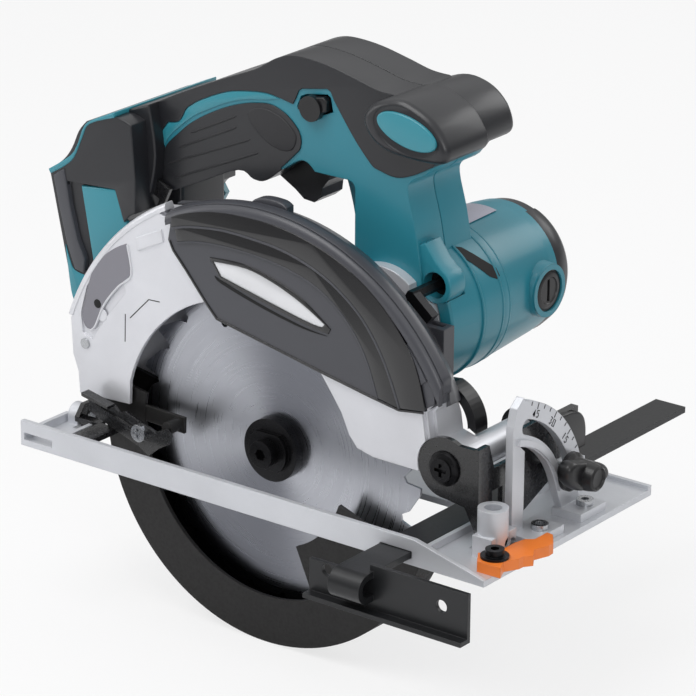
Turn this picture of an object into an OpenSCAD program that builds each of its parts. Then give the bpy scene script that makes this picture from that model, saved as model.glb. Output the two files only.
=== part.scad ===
// Cordless circular saw, 165 mm blade.
// X points the way the saw cuts, Y towards the motor, Z up. The origin is on the sole, under the arbor,
// in the plane of the blade. Pieces of the saw's body are drawn about the arbor.

/* [Blade] */
// Blade diameter
blade_d = 165; // [160:1:165]
// Thickness of the blade's plate
blade_t = 1.2; // [1:0.1:1.5]
// Width of the cut
kerf = 1.5; // [1.5:0.1:1.8]
// Number of teeth
blade_teeth = 24; // [18:2:30]
// Arbor bore of the blade
blade_bore = 20; // [18:1:20]
// Height of the arbor over the sole at full depth
arbor_z = 16.5; // [16.5:0.1:20]

/* [Base] */
// Length of the sole
base_l = 270; // [265:1:280]
// Part of that length in front of the arbor
base_front = 147; // [145:1:152]
// Width of the sole on the motor's side of the blade
base_far = 91.5; // [88:0.5:96]
// Width of the sole on the open side of the blade
base_near = 41.6; // [40:0.1:44]
// Plate thickness
base_t = 3; // [2.6:0.1:3.2]
// Height of the near rail
rail_h = 12.4; // [11:0.1:14]
// Thickness of the near rail
rail_t = 2.6; // [2.2:0.1:3]

/* [Tilt and depth] */
// Height of the tilt axis over the sole
tilt_z = 6; // [5.5:0.1:7]
// Tilt axis, measured across the saw from the blade
tilt_y = -6; // [-7:0.1:-5]
// Outer radius of the tilt sector
sector_r = 64; // [62:0.5:67]
// Radius of the sector's slot
sector_slot_r = 52; // [50:0.5:53]
// Largest tilt
tilt_max = 50; // [45:1:50]
// Depth pivot, forward of the arbor
pivot_x = 105; // [103:0.5:107]
// Depth pivot, above the arbor
pivot_up = 20; // [19:0.5:21]
// Radius of the depth guide's slot about the depth pivot
guide_r = 206; // [204:0.5:207]

/* [Blade case] */
// Inner radius of the case wall over the blade
case_r = 115.2; // [114:0.1:116]
// Wall of the case
case_wall = 2.4; // [2:0.1:2.6]
// Thickness of the black cover on the case
cover_t = 1.8; // [1.5:0.1:2]
// Lower guard, outer radius
guard_r = 95.3; // [94:0.1:96]
// Lower guard, wall
guard_wall = 2; // [1.6:0.1:2.2]
// Opening of the lower guard's outer wall
guard_open_r = 72; // [70:1:74]
// Width of the guard across the blade
guard_w = 17.8; // [17:0.1:18.2]

/* [Gears] */
// Teeth of the motor pinion
pinion_teeth = 8; // [8:1:8]
// Teeth of the large idler gear
idler_teeth = 72; // [72:1:72]
// Module of the motor pinion and the large idler gear
fast_module = 1; // [1:0.1:1]
// Teeth of the small idler gear
idler_small_teeth = 54; // [54:1:54]
// Teeth of the spindle gear
spindle_teeth = 20; // [20:1:20]
// Module of the spindle gear
slow_module = 1.25; // [1.25:0.05:1.25]
// Direction from the arbor to the motor
gear_line = 54.6; // [54:0.2:55.4]

/* [Motor] */
// Radius of the motor housing at its front
motor_r = 36; // [35:0.5:37]
// Radius of the motor housing at its back
motor_back_r = 32.5; // [31.5:0.5:33.5]
// Back end of the motor
motor_end = 125; // [122:0.5:128]
// Radius of the rotor core
rotor_r = 21; // [20:0.5:22]
// Radius of the rotor shaft
shaft_r = 4; // [4:0.5:4]

/* [Handle] */
// Middle plane of the handle
handle_y = 36; // [35:0.5:37]
// Width of the grip
grip_w = 42; // [40:1:43]
// Wall of the handle shells
shell_wall = 3; // [2.6:0.1:3.4]
// Width of the battery foot
foot_w = 75; // [74:0.5:76]

/* [Rip fence] */
// Width of the fence bar
bar_w = 17; // [16:0.5:17]
// Thickness of the fence bar
bar_t = 3; // [2.5:0.1:3]
// Distance of the fence plate from the blade
fence_y = 71; // [66:1:74]
// Length of the fence plate
fence_l = 86; // [80:1:90]

/* [Fits] */
// Gap between pieces that only lie near each other
gap = 0.3; // [0.25:0.05:0.4]
// Radial clearance of a running fit
run = 0.05; // [0.03:0.01:0.08]

/* [Hidden] */
$fn = 64;
eps = 0.01;
// gap between two seated pieces of one body
seat = 0.02;

// layers across the saw
cover_y = -15.8;
case_y = cover_y + cover_t;
case_back_y = 8.1;
back_wall_end = case_back_y + case_wall;
guard_y = -10.6;
guard_back_y = guard_y + guard_w;
housing_y = back_wall_end + seat;
mid_y = 18.4;
lobe_end = 32.4;
motor_y = 20.2;
shell_y = 20;

// gear train: arbor, idler and motor axes lie on one line
slow_c = slow_module * (idler_small_teeth + spindle_teeth) / 2;
fast_c = fast_module * (idler_teeth + pinion_teeth) / 2;
idler_at = slow_c * [cos(gear_line), sin(gear_line)];
motor_at = (slow_c + fast_c) * [cos(gear_line), sin(gear_line)];
gear_play = 1;

bearing_r = 14;
retainer_r = 16.2;
spindle_r = 6;
bearing_y = 5.1;
bearing_w = 8;
pivot_at = [pivot_x, pivot_up];
pivot_r = 4;
boss_r = 7.5;
boss_end = 45;
ear_t = 2.5;
tilt_pin_r = 3;
bar_x = base_front - 48;
bar_z = base_t + gap;
guide_y = back_wall_end + 1.9;
guide_t = 2.2;
depth_bolt_at = pivot_at + guide_r * [cos(184.5), sin(184.5)];
depth_bolt_r = 3;
lever_y = -20;
grip_near = handle_y - grip_w / 2;
grip_far = handle_y + grip_w / 2;
foot_near = handle_y - foot_w / 2;
foot_far = handle_y + foot_w / 2;
button_r = 6;
button_at = [8, 162];
brush_y = 92;
brush_r = 10;
lever_post_r = 52;
key_at = [75.5, 91];
spout_at = [72, 86];

// ---------- helpers ----------

// Extrudes a side view (x, z) across the saw, from y0 to y1
module across(y0, y1) {
    translate([0, y1, 0]) rotate([90, 0, 0]) linear_extrude(y1 - y0) children();
}

// Extrudes a front view (y, z) along the saw, from x0 to x1
module along(x0, x1) {
    translate([x0, 0, 0]) rotate([90, 0, 90]) linear_extrude(x1 - x0) children();
}

// A cylinder across the saw at p = [x, z]
module rod(p, r, y0, y1) {
    translate([p[0], y1, p[1]]) rotate([90, 0, 0]) cylinder(r = r, h = y1 - y0);
}

// A cylinder along the saw at p = [y, z]
module bar(p, r, x0, x1) {
    translate([x0, p[0], p[1]]) rotate([0, 90, 0]) cylinder(r = r, h = x1 - x0);
}

// Places a piece of the saw's body, which is drawn about the arbor
module body() {
    translate([0, 0, arbor_z]) children();
}

function arc(c, r, a0, a1, n = 24) =
    [for (i = [0:n]) let (a = a0 + (a1 - a0) * i / n) c + r * [cos(a), sin(a)]];

function oval(c, a, b, n = 40) =
    [for (i = [0:n - 1]) c + [a * cos(360 * i / n), b * sin(360 * i / n)]];

module ring(ro, ri) {
    difference() {
        circle(ro);
        circle(ri);
    }
}

// Part of a ring between two angles, measured about the arbor
module ring_sector(ro, ri, a0, a1) {
    polygon(concat(arc([0, 0], ro, a0, a1, 48), arc([0, 0], ri, a1, a0, 48)));
}

function involute(a) = tan(a) * 180 / PI - a;

// Half the angle of a gear tooth at radius r
function tooth_half(rb, r, half) =
    half + involute(20) - involute(acos(min(1, rb / max(r, rb))));

// Outline of a spur gear, one tooth centred on +X
module gear_2d(m, n, add, slack) {
    rp = m * n / 2;
    rb = rp * cos(20);
    radii = [rp - 1.25 * m, max(rb, rp - 0.6 * m), rp, rp + add * m];
    half = 90 / n - slack / rp * 90 / PI;
    one = [for (r = radii) [r, tooth_half(rb, r, half)]];
    polygon([for (i = [0:n - 1]) let (a = 360 * i / n)
        each concat([for (p = one) p[0] * [cos(a - p[1]), sin(a - p[1])]],
            [for (k = [len(one) - 1:-1:0]) one[k][0] * [cos(a + one[k][1]), sin(a + one[k][1])]])]);
}

// A hexagon socket
module socket(r) {
    circle(r, $fn = 6);
}

// Cross-head screw across the saw: head of radius r towards the open side, its seat at y
module cross_screw(p, r, shank_r, head, y, shank) {
    difference() {
        union() {
            rod(p, r, y - head, y);
            rod(p, shank_r, y - eps, y + shank);
        }
        translate([p[0], y - head, p[1]]) cube([r * 1.2, head, r * 0.3], center = true);
        translate([p[0], y - head, p[1]]) cube([r * 0.3, head, r * 1.2], center = true);
    }
}

// ---------- base ----------

window_front = 98.5;
window_far = 22;
base_rear = base_front - base_l;
window_rear = base_rear + 22.5;
lobe_gap = 24;
lug_at = [132, -14];
lug_r = 8;
sector_x = 128;
sector_t = 4;
ear_near = -13.6;

module base_plate() color("gainsboro") difference() {
    union() {
        translate([base_rear, -base_near, 0]) cube([base_l, base_near + base_far, base_t]);
        // near rail, falling to the front corner
        across(-base_near, -base_near + rail_t)
            polygon([[base_rear, 0], [base_front, 0], [base_front, base_t], [base_front - 38, rail_h],
                [base_rear, rail_h]]);
        // ribs round the window and at the rear
        translate([window_rear - 2.5, -base_near + 1, 0]) cube([2.5, window_far + base_near, 7.6]);
        translate([base_rear, -base_near + 1, 0]) cube([2.5, base_near + base_far - 1, 7]);
        translate([base_rear, base_far - 2.2, 0]) cube([base_l, 2.2, 5]);
        translate([bar_x + bar_w / 2 + gap, -base_near + 1, 0]) cube([2.5, base_near + base_far - 2, 6.3]);
        // lug of the square stop
        translate([lug_at[0] - 5.5, lug_at[1] - 8, 0]) cube([10.5, 19, 13]);
        translate([lug_at[0], lug_at[1], 0]) cylinder(r = lug_r - 1, h = 25);
        // rear tilt lug and front tilt lug
        along(base_rear + 3.5, base_rear + 9.6) tilt_lug();
        along(front_plate_x + ear_t + gap + 0.1, sector_x - 0.6) tilt_lug();
        // pad of the guide-bar clamp
        translate([bar_x - bar_w / 2 - 6, 66, 0]) cube([5.5, 20, 13]);
        translate([bar_x + bar_w / 2 + gap, 66, 0]) cube([5.5, 20, 13]);
        translate([bar_x - bar_w / 2 - 6, 66, 9.5]) cube([bar_w + 12, 20, 3.5]);
    }
    // blade window with room for the spindle lobe
    translate([window_rear, -base_near + rail_t, -1])
        cube([window_front - window_rear, window_far + base_near - rail_t, 30]);
    translate([-lobe_gap, 0, -1]) cube([2 * lobe_gap, 38, 30]);
    // slots for the fence bar in the near rail
    translate([bar_x - bar_w / 2 - gap, -base_near - 1, base_t])
        cube([bar_w + 2 * gap, rail_t + 4, bar_t + 2 * gap]);
    translate([base_rear + 2, -base_near - 1, base_t]) cube([bar_w + 2 * gap, rail_t + 4, bar_t + 2 * gap]);
    // way of the fence bar out at the far side
    translate([bar_x - bar_w / 2 - gap, base_far - 5, base_t]) cube([bar_w + 2 * gap, 10, 10]);
    // swing of the two tilt brackets
    translate([rear_plate_x - gap - 0.1, tilt_y - 9.6, -1]) cube([window_rear - rear_plate_x + 1, 19.2, 20]);
    translate([front_plate_x - gap - 0.1, tilt_y - 9.6, -1]) cube([ear_t + 2 * gap + 0.2, 19.2, 20]);
    // bores
    bar([tilt_y, tilt_z], tilt_pin_r + seat, base_rear - 1, base_rear + 11);
    bar([tilt_y, tilt_z], tilt_pin_r + seat, sector_x - 5, sector_x + 20);
    bar([lug_at[1] + 2, 9], 2.5 + seat, lug_at[0] - 20, lug_at[0] + 20);
    translate([lug_at[0], lug_at[1], 14]) cylinder(r = 4, h = 12);
    translate([bar_x, 76, 8]) cylinder(r = 3, h = 10);
    for (p = concat(guide_holes, sector_holes)) translate([p[0], p[1], -1]) cylinder(r = 2 + seat, h = 10);
}

module tilt_lug() {
    difference() {
        union() {
            translate([tilt_y - 6, 0]) square([12, tilt_z]);
            translate([tilt_y, tilt_z]) circle(6);
        }
        translate([tilt_y - 10, -10]) square([20, 10]);
    }
}

guide_holes = [[142, -26.5]];
sector_holes = [[sector_x + 10, 14], [sector_x + 10, 50]];
sector_foot_t = 4;

// Upright sector with the scale of the tilt, bolted to the base
module bevel_sector() color("silver") difference() {
    union() {
        along(sector_x, sector_x + sector_t) difference() {
            union() {
                // leg, top and outer arc
                polygon(concat([[0.5, base_t], [0.5, 58], [3, 66], [8, 70]],
                    [for (p = arc([tilt_y, tilt_z], sector_r, 76, 16)) p],
                    [[52, base_t], [42, base_t], [37, 14]],
                    [for (p = arc([tilt_y, tilt_z], sector_slot_r - 9, 20, 74)) p],
                    [[9.5, 44], [9.5, base_t]]));
            }
            sector_slot();
        }
        translate([sector_x, 0.5, base_t]) cube([16, 24, sector_foot_t]);
        translate([sector_x, 38, base_t]) cube([16, 20, sector_foot_t]);
        // raised bead round the slot
        along(sector_x + sector_t - eps, sector_x + sector_t + 1.6) difference() {
            polygon(concat([for (p = arc([tilt_y, tilt_z], sector_slot_r - 5.5, 14, 78)) p],
                [for (p = arc([tilt_y, tilt_z], sector_slot_r - 8.5, 78, 14)) p]));
            translate([-20, -10]) square([100, 10 + base_t]);
        }
    }
    for (p = sector_holes) translate([p[0], p[1], 0]) cylinder(r = 2.2, h = 20);
}

module sector_slot() {
    s = 3.7;
    a0 = 21;
    a1 = a0 + tilt_max;
    c = [tilt_y, tilt_z];
    polygon(concat(arc(c, sector_slot_r + s, a0, a1), arc(c, sector_slot_r - s, a1, a0)));
    for (a = [a0, a1]) translate(c + sector_slot_r * [cos(a), sin(a)]) circle(s);
}

module sector_screws() color("dimgray")
    for (p = sector_holes) translate([p[0], p[1], 0]) difference() {
        union() {
            translate([0, 0, 0.4]) cylinder(r = 2, h = base_t + sector_foot_t);
            translate([0, 0, base_t + sector_foot_t]) cylinder(r = 4, h = 2.6);
        }
        translate([0, 0, base_t + sector_foot_t + 1]) linear_extrude(3) socket(2);
    }

// Sighting guide at the front edge, with notches for square and tilted cuts
module top_guide() color("darkorange") difference() {
    translate([0, 0, base_t]) linear_extrude(5) polygon([[138.5, -35], [151, -34.8], [148, -28], [151.5, -21.5],
        [151.7, -18.3], [154.4, -14.5], [151.1, -9.2], [153.7, -1.5], [153.5, 2.2], [148, 9.9], [144.5, 10.5],
        [144.5, 1], [141, -2], [139.6, -8], [139.6, -20], [135.5, -25.5], [133.4, -27.1]]);
    translate([guide_holes[0][0], guide_holes[0][1], 0]) cylinder(r = 2.2, h = 20);
}

module guide_screw() color("black") translate([guide_holes[0][0], guide_holes[0][1], 0]) difference() {
    union() {
        translate([0, 0, 0.4]) cylinder(r = 2, h = base_t + 5);
        translate([0, 0, base_t + 5]) cylinder(r = 6.5, h = 1.2);
        translate([0, 0, base_t + 6.2]) cylinder(r = 4.3, h = 3);
    }
    translate([0, 0, base_t + 7.4]) linear_extrude(3) socket(2.2);
}

module stop_screw() color("black") difference() {
    bar([lug_at[1] + 2, 9], 2.5, lug_at[0] - 7.5, lug_at[0] + 5);
    along(lug_at[0] + 2, lug_at[0] + 6) translate([lug_at[1] + 2, 9]) socket(1.4);
}

module bevel_pins() color("dimgray") {
    bar([tilt_y, tilt_z], tilt_pin_r, base_rear + 4, rear_plate_x + ear_t + 0.6);
    bar([tilt_y, tilt_z], tilt_pin_r, front_plate_x - 0.6, sector_x - 0.8);
}

// ---------- tilt brackets and depth guide ----------

front_plate_x = 121;
rear_plate_x = base_rear + 10 + gap;
plate_top = arbor_z + pivot_up + 13;
far_ear = boss_end + gap;

module front_bracket() color("black") difference() {
    union() {
        // near ear with its round lobe
        across(ear_near, ear_near + ear_t) translate([0, arbor_z]) difference() {
            union() {
                translate(pivot_at) circle(14.5);
                polygon([pivot_at + [-6, 12.5], [front_plate_x + ear_t, pivot_up + 12.5],
                    [front_plate_x + ear_t, 11 - arbor_z], [front_plate_x, 11 - arbor_z],
                    [front_plate_x - 5, 4], pivot_at + [0, -14.5]]);
            }
        }
        // far ear
        across(far_ear, far_ear + ear_t) translate([0, arbor_z]) {
            translate(pivot_at) circle(11);
            translate([pivot_x, pivot_up - 6]) square([front_plate_x + ear_t - pivot_x, 17]);
        }
        // plate across the saw
        along(front_plate_x, front_plate_x + ear_t) {
            polygon([[ear_near, 11], [ear_near, plate_top], [ear_near + 8, plate_top],
                [ear_near + 12, plate_top - 12], [12, plate_top - 12], [16, plate_top],
                [far_ear + ear_t, plate_top], [far_ear + ear_t, 20], [24, 10], [8, base_t + 1],
                [tilt_y, base_t + 0.5], [tilt_y - 5.5, tilt_z]]);
            translate([tilt_y, tilt_z]) circle(5.5);
        }
    }
    rod([pivot_x, arbor_z + pivot_up], pivot_r, -30, 80);
    bar([tilt_y, tilt_z], tilt_pin_r + run, 100, 140);
    bar(bolt_at, 3 + seat, 100, 140);
    along(front_plate_x - 1, front_plate_x + 6) translate([-3, 18]) square([8, 9]);
}

bolt_angle = 21;
bolt_at = [tilt_y, tilt_z] + sector_slot_r * [cos(bolt_angle), sin(bolt_angle)];

// Clamp bolt of the tilt: its head behind the bracket's plate
module bevel_bolt() color("dimgray") {
    bar(bolt_at, 3, front_plate_x - 1, knob_x + 11.4);
    along(front_plate_x - 3, front_plate_x - seat) translate(bolt_at) circle(5.2, $fn = 6);
}

module bevel_knob() color("black") difference() {
    union() {
        bar(bolt_at, 8, knob_x, knob_x + 15);
        bar(bolt_at, 9.5, knob_x, knob_x + 4);
        translate([knob_x + 2, bolt_at[0], bolt_at[1]]) rotate([-14, 0, 0]) translate([0, -4, -3.5])
            cube([8, 26, 7]);
    }
    bar(bolt_at, 3 + run, knob_x - 1, knob_x + 12);
}

knob_x = sector_x + sector_t + 1.6 + gap;

module pivot_screw() color("black")
    difference() {
        union() {
            rod([pivot_x, arbor_z + pivot_up], 5.6, ear_near - 3.6, ear_near);
            rod([pivot_x, arbor_z + pivot_up], pivot_r, ear_near - eps, far_ear + ear_t + 6);
            across(far_ear + ear_t, far_ear + ear_t + 5) translate([pivot_x, arbor_z + pivot_up])
                circle(7, $fn = 6);
        }
        translate([pivot_x, ear_near - 3.6, arbor_z + pivot_up]) {
            cube([6.4, 3.2, 1.7], center = true);
            cube([1.7, 3.2, 6.4], center = true);
        }
    }

rear_near = -33;

module rear_bracket() color("black") difference() {
    union() {
        along(rear_plate_x, rear_plate_x + ear_t) {
            translate([tilt_y, tilt_z]) circle(5.5);
            polygon([[-11.5, tilt_z], [-14.5, tilt_z], [-14.5, tilt_z + 2.5], [-10, 14], [guide_y, 14],
                [guide_y, 8.5], [8, base_t + 0.6], [tilt_y, base_t + 0.6]]);
        }
        // wing beside the blade
        translate([0, 0, tilt_z]) linear_extrude(2.5) polygon([[rear_plate_x, -14.5], [rear_plate_x, -9.6],
            [-97.5, -9.6], [-97.5, -13], [-86.5, -13], [-86.5, rear_near], [-98, rear_near], [-98, -14.5]]);
        // tab that carries the depth guide
        across(guide_y - 1.6, guide_y - seat) polygon([[rear_plate_x, 8.5], [rear_plate_x, 14], [-94, 14],
            [-93, 8.5]]);
    }
    bar([tilt_y, tilt_z], tilt_pin_r + run, base_rear, base_rear + 40);
}

guide_low = 187.6;
guide_high = 155.4;
guide_half = 6.5;

// Curved plate along which the body is clamped for depth, struck about the depth pivot
module depth_guide() color("black")
    across(guide_y, guide_y + guide_t) translate([pivot_x, arbor_z + pivot_up]) difference() {
        polygon(concat(arc([0, 0], guide_r + guide_half, guide_high - 1.2, guide_low, 40),
            arc([0, 0], guide_r - guide_half, guide_low, guide_high - 1.2, 40)));
        polygon(concat(arc([0, 0], guide_r + depth_bolt_r + gap, guide_high + 1, guide_low - 2, 40),
            arc([0, 0], guide_r - depth_bolt_r - gap, guide_low - 2, guide_high + 1, 40)));
    }

// ---------- rip fence ----------

fence_t = 2.2;
fence_top = 9.2;
fence_low = -14;
bend_r = 7;

module rip_fence() color("black") difference() {
    union() {
        // bar through the base and over to the bend
        translate([bar_x - bar_w / 2, -fence_y - 2, bar_z]) cube([bar_w, fence_y + 2 + 182, bar_t]);
        // bend round the nose, back under the bar
        translate([bar_x - bar_w / 2, -fence_y - 2, bar_z + bar_t - bend_r]) rotate([0, 90, 0]) rotate([0, 0, 180])
            intersection() {
                linear_extrude(bar_w) ring(bend_r, bend_r - bar_t);
                translate([-bend_r - 1, 0, 0]) cube([2 * bend_r + 2, bend_r + 1, bar_w]);
            }
        translate([bar_x - bar_w / 2, -fence_y - 2, bar_z + bar_t - 2 * bend_r]) cube([bar_w, 6, bar_t]);
        // fence plate with its turned lower lip
        translate([fence_x, -fence_y + 2, fence_low]) cube([fence_l, fence_t, bar_z - fence_low]);
        translate([fence_x, -fence_y - 3, fence_low]) cube([fence_l, 5 + fence_t, fence_t]);
        translate([bar_x + bar_w / 2 - 2, -fence_y + 2, fence_low])
            cube([fence_x + fence_l - bar_x - bar_w / 2 + 2, fence_t, fence_top - fence_low]);
    }
    for (x = fence_holes) rod([x, fence_mid], 3, -fence_y - 10, -fence_y + 10);
}

fence_x = 72;
fence_mid = 0;
fence_holes = [fence_x + fence_l - 14, fence_x + 10];

module fence_clamp() color("black") {
    translate([bar_x, 76, bar_z + bar_t + gap / 2]) cylinder(r = 3 - run, h = 12);
    translate([bar_x, 76, 13 + gap]) cylinder(r = 7, h = 5);
    translate([bar_x - 2, 76 - 2, 13 + gap + 2]) cube([4, 24, 16]);
}

// ---------- blade case ----------

cover_gap = 0.1;
case_out_r = case_r + case_wall;
rear_c = [-1.5, 1];
rear_r = case_r + 7.3;

// Outline of the case, drawn in by d
function case_pts(d) = concat(
    [[95 - d, 14], [97 - d, 30], [95 - d, 43.5], [101.3 - d, 50]],
    arc([0, 0], case_out_r - d, 31.4, 116.5, 30),
    arc(rear_c, rear_r - d, 119, 160, 16),
    [[-115.8 + d, 24], [-112.7 + d, 15.6], [-112 + d, 5]]);

// Window that the guard's lever sweeps along
window_pts = concat(
    [[-78.5, -20], [-78.5, 7]],
    arc([-7, -1], 73.5, 165, 105, 16),
    [[-19, 62], [33, 52.2]],
    [[39.7, 43.5], [47.4, 32.8], [51.9, 23], [56.4, 17.8], [65.5, 15.6], [100, 15.2], [100, -20]]);

module case_inside(d) {
    polygon(concat([[95 - d, -40]], case_pts(d), [[-112 + d, -40]]));
}

// Behind its shoulder the case leans in towards the far wall; d grows the form
shoulder_y = case_y + 6;
lean_at = [-10.8, -2.6];
lean_r = case_r - 3.9;

module lean(d) hull() {
    across(case_y - 20, shoulder_y + eps) polygon(concat([[95 + d, -60]], case_pts(-d), [[-112 - d, -60]]));
    across(back_wall_end, back_wall_end + 5) translate(lean_at) circle(lean_r + d, $fn = 120);
}

module blade_case() color("gainsboro") body() difference() {
    union() {
        // back wall and rim
        across(case_back_y, back_wall_end) polygon([[-40, -10], [40, -10], [58, 16], [-58, 16]]);
        difference() {
            intersection() {
                across(shoulder_y, back_wall_end) polygon(case_pts(-0.5));
                lean(0);
            }
            intersection() {
                across(shoulder_y - 1, case_back_y) case_inside(case_wall - 0.5);
                lean(-case_wall);
            }
        }
        across(case_y + 2, shoulder_y + eps) difference() {
            polygon(case_pts(1.2));
            case_inside(case_wall + 1.2);
        }
        // near wall round the window
        across(case_y, case_y + 2 + eps) difference() {
            polygon(case_pts(2.6));
            polygon(window_pts);
        }
        // front lug and long pivot boss
        across(-8, back_wall_end) polygon([[86, 15], [90, 42], [97, 30], [pivot_x + 3, pivot_up + boss_r - 0.5],
            [pivot_x + boss_r - 0.5, pivot_up - 2], [pivot_x - 3, pivot_up - boss_r + 0.5]]);
        rod(pivot_at, boss_r, ear_near + ear_t + gap, boss_end);
        // boss of the depth bolt
        rod(depth_bolt_at, 6, back_wall_end - eps, guide_y - gap);
    }
    rod(pivot_at, pivot_r + run, -40, 80);
    rod([0, 0], retainer_r + seat, 0, 20);
    rod(depth_bolt_at, depth_bolt_r, 0, 30);
    for (p = case_screw_at) rod(p, 2, 0, 20);
    // room for the front bracket's ear
    rod(pivot_at, 14.5 + gap, case_y - 3, ear_near + ear_t + gap - eps);
    // raised lamp-shaped pocket of the rear wall
    across(case_y - 1, case_y + 1) polygon([[-94, 74], [-85, 80], [-80, 62], [-93, 46], [-101, 34], [-107, 36],
        [-108, 46], [-104, 60]]);
    rod([-95, 47.5], 2.4, case_y - 2, case_y + 6);
}

case_screw_at = [idler_at + 44 * [cos(150), sin(150)], idler_at + 44 * [cos(330), sin(330)],
    motor_at + 31 * [cos(160), sin(160)]];

module case_screws() color("dimgray") body()
    for (p = case_screw_at) difference() {
        union() {
            rod(p, 4, housing_y + 3 + seat, housing_y + 5.4);
            rod(p, 2 - seat, case_back_y + 0.2, housing_y + 3 + 2 * seat);
        }
        across(housing_y + 4, housing_y + 6) translate(p) {
            square([4.8, 1.2], center = true);
            square([1.2, 4.8], center = true);
        }
    }

// Outline of the cover, drawn in by d
function cover_pts(d) = concat(
    [[94.8 - d, 44.3], [103.4 - d, 49.8]],
    arc([0, 0], case_out_r + cover_t + cover_gap - d, 30.6, 115.5, 36),
    [[-52.2, 94.6], [-49.8, 89.8], [-42.2, 81.9], [-29.7, 67.6], [-24.1, 61.9], [-19, 60.9], [40.6, 49.4],
        [65.6, 44.7], [80.9, 42.6]]);

module case_cover() color("dimgray") body() difference() {
    union() {
        difference() {
            intersection() {
                across(shoulder_y, back_wall_end) polygon(cover_pts(-3));
                lean(cover_t + cover_gap);
            }
            lean(cover_gap);
        }
        across(cover_y + 3.8, shoulder_y + eps) difference() {
            polygon(cover_pts(1));
            polygon(case_pts(-cover_gap - 0.1));
        }
        across(cover_y + 1.8 - cover_gap, cover_y + 3.8 + eps) difference() {
            polygon(cover_pts(1.2));
            polygon(case_pts(1.1));
            translate([0, -150]) square([300, 192]);
            translate([-350, -200]) square([300 - 2.8, 400]);
        }
        across(cover_y, cover_y + cover_t - cover_gap) difference() {
            polygon(cover_pts(3));
            polygon([[-27.3, 89.7], [-19.1, 85.1], [10, 79.6], [38.1, 71.7], [30.8, 77.4], [13.5, 84.1],
                [-11.5, 88.3]]);
        }
        // arched band near the rim and raised rib on the face
        across(cover_y - 0.7, cover_y + eps) difference() {
            polygon(concat(arc([0, 0], 113.5, 32, 110, 30), arc([2, 0], 104, 110, 32, 30)));
            translate([-60, 88]) square([16, 40]);
        }
        // chip spout behind the rim
        difference() {
            intersection() {
                across(back_wall_end - 1, back_wall_end + seat + 2.4) wedge(31.8, 38);
                lean(cover_t);
            }
            intersection() {
                across(0, back_wall_end + seat) wedge(20, 60);
                lean(cover_gap + 0.4);
            }
            rod([0, 0], 92, 0, 30);
        }
        translate([spout_at[0], back_wall_end + seat, 50]) cube([spout_at[1] - spout_at[0], 8, 24]);
    }
    translate([spout_at[0] + 3, back_wall_end + 3, 56]) cube([spout_at[1] - spout_at[0] - 6, 3.4, 30]);
}

module chip_shield() color("black") body()
    across(housing_y, housing_y + 9) difference() {
        polygon(concat([[82, 48.6]], arc([84, 30], 20.6, 72, -4, 12), [[100, 31]], arc([84, 30], 16, 0, 72, 12),
            [[82, 45.6]]));
    }

// ---------- gear housing and gears ----------

module lobes(spindle_lobe, idler_lobe, motor_lobe) {
    circle(spindle_lobe);
    translate(idler_at) circle(idler_lobe);
    translate(motor_at) circle(motor_lobe);
}

fast_r = fast_module * (idler_teeth / 2 + 0.6);
slow_r = slow_module * (idler_small_teeth / 2 + 0.9);
front_wall = 2.4;
rear_bearing_y = lobe_end - 4.8;
motor_bearing_w = 5.4;
motor_bearing_y = lobe_end - motor_bearing_w;

module gear_housing() color("silver") body() difference() {
    union() {
        // retainer tube of the arbor bearing, on which the lower guard turns
        rod([0, 0], retainer_r, bearing_y - 0.2, lobe_end);
        rod(idler_at, fast_r + gear_play + 2, housing_y, mid_y);
        rod(idler_at, slow_r + gear_play + 2, mid_y - 1, lobe_end);
        rod(motor_at, motor_lobe_r, housing_y, lobe_end - 1);
        rod(motor_at, motor_back_lobe_r, motor_y + 2 + seat, lobe_end);
        // ears of the three screws, and the boss of the shaft lock
        for (p = case_screw_at) rod(p, 6, housing_y, housing_y + 3);
        rod(lock_at, 6, mid_y, lobe_end + 4);
    }
    // gear room
    across(housing_y + front_wall, mid_y + 0.1) lobes(12, fast_r + gear_play, 8);
    rod([0, 0], spindle_teeth * slow_module / 2 + 1.8, mid_y, lobe_end - 5.7);
    rod(idler_at, slow_r + gear_play, mid_y, lobe_end - 5.7);
    // bearings and running bores
    rod([0, 0], bearing_r, bearing_y - 1, bearing_y + bearing_w);
    rod([0, 0], 8, lobe_end - 6, lobe_end - 1.2);
    rod(idler_at, idler_pin_r + run, housing_y + 0.8, lobe_end - 0.8);
    rod(motor_at, 11, motor_bearing_y, lobe_end + 1);
    rod(motor_at, 5, mid_y - 1, lobe_end);
    rod(lock_at, 2.5 + run, mid_y + 1, lobe_end + 10);
    for (p = case_screw_at) rod(p, 2, 0, 20);
    // room for the spout and the stored key
    translate([spout_at[0] - gap, 0, 0]) cube([40, 19.8, 77]);
    rod(key_at, 8.9 + gap, 0, 32);
}

motor_lobe_r = 26.5;
motor_back_lobe_r = 30.5;

idler_pin_r = 4;
lock_at = [-9.8, 9.5];

module idler_gear() color("slategray") body() {
    translate([idler_at[0], 0, idler_at[1]]) {
        across(housing_y + front_wall + 0.4, mid_y - 0.4) rotate(gear_line)
            gear_2d(fast_module, idler_teeth, 0.6, 0.12);
        across(mid_y + 0.3, lobe_end - 6) rotate(gear_line + 180 + 180 / idler_small_teeth)
            gear_2d(slow_module, idler_small_teeth, 0.9, 0.12);
        rod([0, 0], 9, mid_y - 0.4 - eps, mid_y + 0.3 + eps);
        rod([0, 0], idler_pin_r, housing_y + 1, lobe_end - 1);
    }
}

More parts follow.
